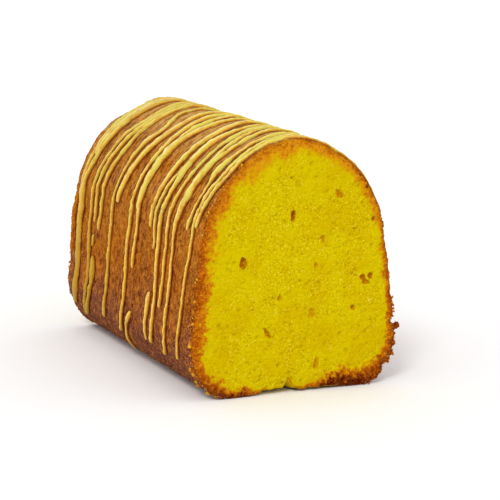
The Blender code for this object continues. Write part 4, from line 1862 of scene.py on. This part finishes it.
@dataclass
class Cake:
    """The whole cake: builds each piece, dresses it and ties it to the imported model."""

    form: LoafForm = LoafForm()
    pour: Pour = Pour()
    step: float = 0.7 * MM
    flank: float = 74.0
    crumb_seed: int = 5
    flake_seed: int = 12
    grit_seed: int = 17
    grit: int = 420
    grit_back: float = 0.9
    grit_places: Span = (5.0, 231.0)
    grit_sizes: Span = (0.2, 0.45)
    grit_sizes_on_top: Span = (0.2, 0.28)
    grit_sizes_far: Span = (0.2, 0.35)
    shown_holes: tuple[Hole, ...] = (
        Hole(-0.8, 65.0, 1.1, 2.8, 2.0, 4), Hole(-19.9, 48.1, 1.7, 2.6, 2.2, -8),
        Hole(26.9, 39.6, 1.1, 1.3, 1.4, 0), Hole(28.4, 38.2, 1.4, 1.0, 1.4, 20),
        Hole(29.7, 39.9, 0.9, 1.4, 1.4, 10), Hole(17.5, 71.2, 1.2, 1.3, 1.2, 0),
        Hole(23.1, 28.9, 1.0, 1.0, 1.2, 0), Hole(-10.4, 22.7, 0.9, 1.9, 1.3, -35),
        Hole(8.5, 9.2, 1.1, 2.8, 1.0, 6), Hole(6.8, 28.5, 2.0, 1.6, 0.8, 15),
        Hole(31.2, 61.0, 0.8, 1.3, 1.3, 20), Hole(-1.1, 77.9, 0.8, 0.7, 0.9, 0),
        Hole(8.5, 45.9, 0.8, 1.2, 0.8, 0), Hole(-5.9, 35.1, 0.6, 1.6, 0.9, 5),
        Hole(33.8, 9.8, 1.0, 1.2, 1.2, -30), Hole(11.0, 55.2, 0.6, 1.4, 0.8, 10),
    )
    far_holes: tuple[Hole, ...] = (
        Hole(14.0, 58.0, 1.4, 2.4, 1.8, 12), Hole(-9.0, 70.5, 1.2, 1.6, 1.5, 0),
        Hole(-22.5, 33.0, 1.9, 2.3, 2.0, -20), Hole(3.5, 39.0, 1.1, 2.7, 1.6, 8),
        Hole(24.0, 22.0, 1.5, 1.2, 1.3, 0), Hole(-6.0, 13.5, 1.0, 2.4, 1.5, -12),
        Hole(20.0, 40.0, 0.8, 1.2, 1.0, 15), Hole(-14.0, 52.0, 0.7, 1.6, 1.0, 0),
    )
    placed_crumbs: tuple[Spot, ...] = (
        Spot(17.5, 2.0, 1.0), Spot(18.6, 4.4, 0.8), Spot(13.0, 5.5, 0.9), Spot(10.0, 8.5, 0.9),
        Spot(7.5, 3.5, 1.1), Spot(5.0, 6.5, 0.6), Spot(44.0, 0.9, 0.6), Spot(36.0, 0.8, 0.7),
        Spot(52.0, 0.7, 0.5), Spot(28.0, 0.9, 0.7),
    )
    placed_flakes: tuple[Spot, ...] = (
        Spot(200.9, 0.7, 0.7, 0.5), Spot(208.8, 0.6, 1.1, 0.4), Spot(215.0, 0.7, 0.9, 0.5),
    )

    @cached_property
    def threads(self) -> dict[str, np.ndarray]:
        """Stations of every thread of icing."""
        return self.pour.courses(self.form, self.step)

    def build(self) -> None:
        """Build and dress every piece."""
        crumb = CrumbFinish().material()
        Workbench.settle(Crust(self.form, self.threads).build(), CrustFinish().material(), Slot.CRUST)
        for end, holes, seed in ((End.SHOWN, self.shown_holes, 3), (End.FAR, self.far_holes, 8)):
            Workbench.settle(CutFace(self.form, end, holes, seed).build(), crumb, Slot.CRUMB)
        icing = Threads("icing", self.form, self.threads)
        Workbench.settle(icing.build(), IcingFinish().material(), Slot.ICING)
        self._syrup()
        self._crumbs()
        self._flakes()
        self._grit()

    def _syrup(self) -> None:
        """The thin runs of syrup between the threads."""
        runs = {
            course.name: self.pour.stations(course.rows, self.step, False, self.form.arch_length)
            for course in self.pour.runs()
        }
        syrup = Threads("syrup", self.form, runs, section=FILM, base_lift=0.1 * MM, lift=0.12)
        finish = SyrupFinish("syrup", srgb(190, 116, 36), srgb(122, 54, 6))
        Workbench.settle(syrup.build(), finish.material(), Slot.ICING)

    def _crumbs(self) -> None:
        """Yellow crumbs that cling to the rims and to the foot."""
        draw = random.Random(self.crumb_seed)
        spots = [
            *self.placed_crumbs,
            *self._along_rim(draw, 46, (4, 232), (0.5, 1.6), (0.25, 0.5)),
            *self._along_far_rim(draw, 30, (0.6, 1.6), (0.2, 0.4)),
        ]
        finish = BitFinish("loose_crumb", srgb(214, 170, 30), srgb(206, 128, 40))
        crumbs = Bits("crumbs", self.form, spots, flatness=0.75, seed=21)
        Workbench.settle(crumbs.build(), finish.material(), Slot.CRUMB)

    def _on_flank(self, draw: random.Random) -> float:
        """A place along the arch, in mm, low on either flank."""
        place = draw.uniform(4.0, self.flank)
        return place if draw.random() < 0.5 else self.form.arch_length / MM - place

    @staticmethod
    def _along_rim(draw: random.Random, count: int, places: Span, backs: Span, sizes: Span,
                   out: float = 0.2) -> list[Spot]:
        """Spots drawn along the shown rim.

        Args:
            draw: Where they are drawn from.
            count: How many.
            places: Least and most place along the arch, in mm.
            backs: Least and most distance back from the rim, in mm.
            sizes: Least and most size, in mm.
            out: How far they stand out.

        Returns:
            The spots.
        """
        return [
            Spot(draw.uniform(*places), draw.uniform(*backs), draw.uniform(*sizes), out)
            for _ in range(count)
        ]

    def _along_far_rim(self, draw: random.Random, count: int, backs: Span, sizes: Span,
                       out: float = 0.2) -> list[Spot]:
        """Spots drawn along the far rim, low on both flanks.

        Args:
            draw: Where they are drawn from.
            count: How many.
            backs: Least and most distance from the rim, in mm.
            sizes: Least and most size, in mm.
            out: How far they stand out.

        Returns:
            The spots.
        """
        spots = []
        for _ in range(count):
            back = LENGTH_MM - draw.uniform(*backs)
            spots.append(Spot(self._on_flank(draw), back, draw.uniform(*sizes), out))
        return spots

    def _flakes(self) -> None:
        """Torn bits of crust that stand out of the rims."""
        draw = random.Random(self.flake_seed)
        spots = [
            *self.placed_flakes,
            *self._along_rim(draw, 40, (198, 236), (0.2, 1.6), (0.25, 0.7)),
            *self._along_rim(draw, 14, (2, 26), (0.3, 1.2), (0.3, 0.6), 0.1),
            *self._along_far_rim(draw, 40, (0.3, 1.2), (0.2, 0.5), 0.1),
        ]
        finish = BitFinish("torn_crust", srgb(178, 94, 16), srgb(132, 58, 12))
        flakes = Bits("flakes", self.form, spots, flatness=0.45, seed=33, jagged=0.7)
        Workbench.settle(flakes.build(), finish.material(), Slot.CRUST)

    def _grit(self) -> None:
        """Fine baked crumbs along both rims, from orange to dark brown."""
        draw = random.Random(self.grit_seed)
        spots = []
        for _ in range(self.grit):
            place = draw.uniform(*self.grit_places)
            back = self.grit_back + abs(draw.gauss(0.0, 1.0))
            on_flank = abs(place - self.pour.ridge) > self.pour.ridge - self.flank
            sizes = self.grit_sizes if on_flank else self.grit_sizes_on_top
            spots.append(Spot(place, back, draw.uniform(*sizes), 0.1))
        for _ in range(self.grit // 3):
            back = LENGTH_MM - self.grit_back - abs(draw.gauss(0.0, 1.0))
            spots.append(Spot(self._on_flank(draw), back, draw.uniform(*self.grit_sizes_far), 0.0))
        finish = BitFinish("baked_crumb", srgb(204, 116, 18), srgb(124, 56, 8), grain=420.0)
        grit = Bits("grit", self.form, spots, flatness=0.7, seed=51, jagged=0.5, detail=1)
        Workbench.settle(grit.build(), finish.material(), Slot.CRUST)


# --------------------------------------------------------------------------------------------------------
# The studio
# --------------------------------------------------------------------------------------------------------


@dataclass(frozen=True)
class Lamp:
    """A far, soft lamp: the direction it shines from, how wide it looks and its strength."""

    name: str
    place: tuple[float, float, float]
    spread: float
    power: float

    def build(self) -> None:
        """Add the lamp."""
        data = bpy.data.lights.new(self.name, "SUN")
        data.angle = math.radians(self.spread)
        data.energy = self.power
        lamp = bpy.data.objects.new(self.name, data)
        lamp.rotation_euler = Vector(self.place).to_track_quat("Z", "Y").to_euler()
        bpy.context.scene.collection.objects.link(lamp)


@dataclass(frozen=True)
class Studio:
    """Plain floor, soft light and the camera."""

    azimuth: float = -23.22
    elevation: float = 10.754
    distance: float = 0.83789
    target: tuple[float, float, float] = (8.285 * MM, -7.439 * MM, 40.928 * MM)
    focal_length: float = 157.95
    sensor: float = 36.0
    nearest: float = 0.01
    floor_size: float = 12.0
    floor_drop: float = 0.15 * MM
    sky: float = 0.9
    lamps: tuple[Lamp, ...] = (
        Lamp("key", (-0.5, -0.62, 0.72), 16.0, 1.05),
        Lamp("fill", (0.6, -0.9, 0.5), 70.0, 0.15),
    )

    def build(self) -> None:
        """Build the floor, the sky, the lamps and the camera."""
        self._floor()
        self._sky()
        for lamp in self.lamps:
            lamp.build()
        self._camera(Vector(self.target))

    def _floor(self) -> None:
        """A wide pale floor just under the cake."""
        Workbench.deselect()
        bpy.ops.mesh.primitive_plane_add(size=self.floor_size, location=(0.0, 0.0, -self.floor_drop))
        floor = bpy.context.active_object
        floor.name = "floor"
        bpy.ops.object.transform_apply(location=True, rotation=True, scale=True)
        floor.data.materials.append(FloorFinish().material())

    def _sky(self) -> None:
        """Even white light from all round."""
        world = bpy.data.worlds.new("studio")
        world.use_nodes = True
        background = world.node_tree.nodes["Background"]
        background.inputs["Color"].default_value = (1.0, 1.0, 1.0, 1.0)
        background.inputs["Strength"].default_value = self.sky
        bpy.context.scene.world = world
        bpy.context.scene.view_settings.view_transform = "Standard"

    def _camera(self, target: Vector) -> None:
        """The camera, a long lens at the height of the cake's top.

        Args:
            target: The point it looks at.
        """
        azimuth, elevation = math.radians(self.azimuth), math.radians(self.elevation)
        back = Vector((
            math.sin(azimuth) * math.cos(elevation),
            -math.cos(azimuth) * math.cos(elevation),
            math.sin(elevation),
        ))
        data = bpy.data.cameras.new("camera")
        data.sensor_width = self.sensor
        data.lens = self.focal_length
        data.clip_start = self.nearest
        camera = bpy.data.objects.new("camera", data)
        camera.location = target + back * self.distance
        camera.rotation_euler = (-back).to_track_quat("-Z", "Y").to_euler()
        bpy.context.scene.collection.objects.link(camera)
        bpy.context.scene.camera = camera


def main() -> None:
    """Build the studio and the cake."""
    logging.basicConfig(level=logging.INFO, format="%(message)s")
    Studio().build()
    Cake().build()


if __name__ == "__main__":
    main()
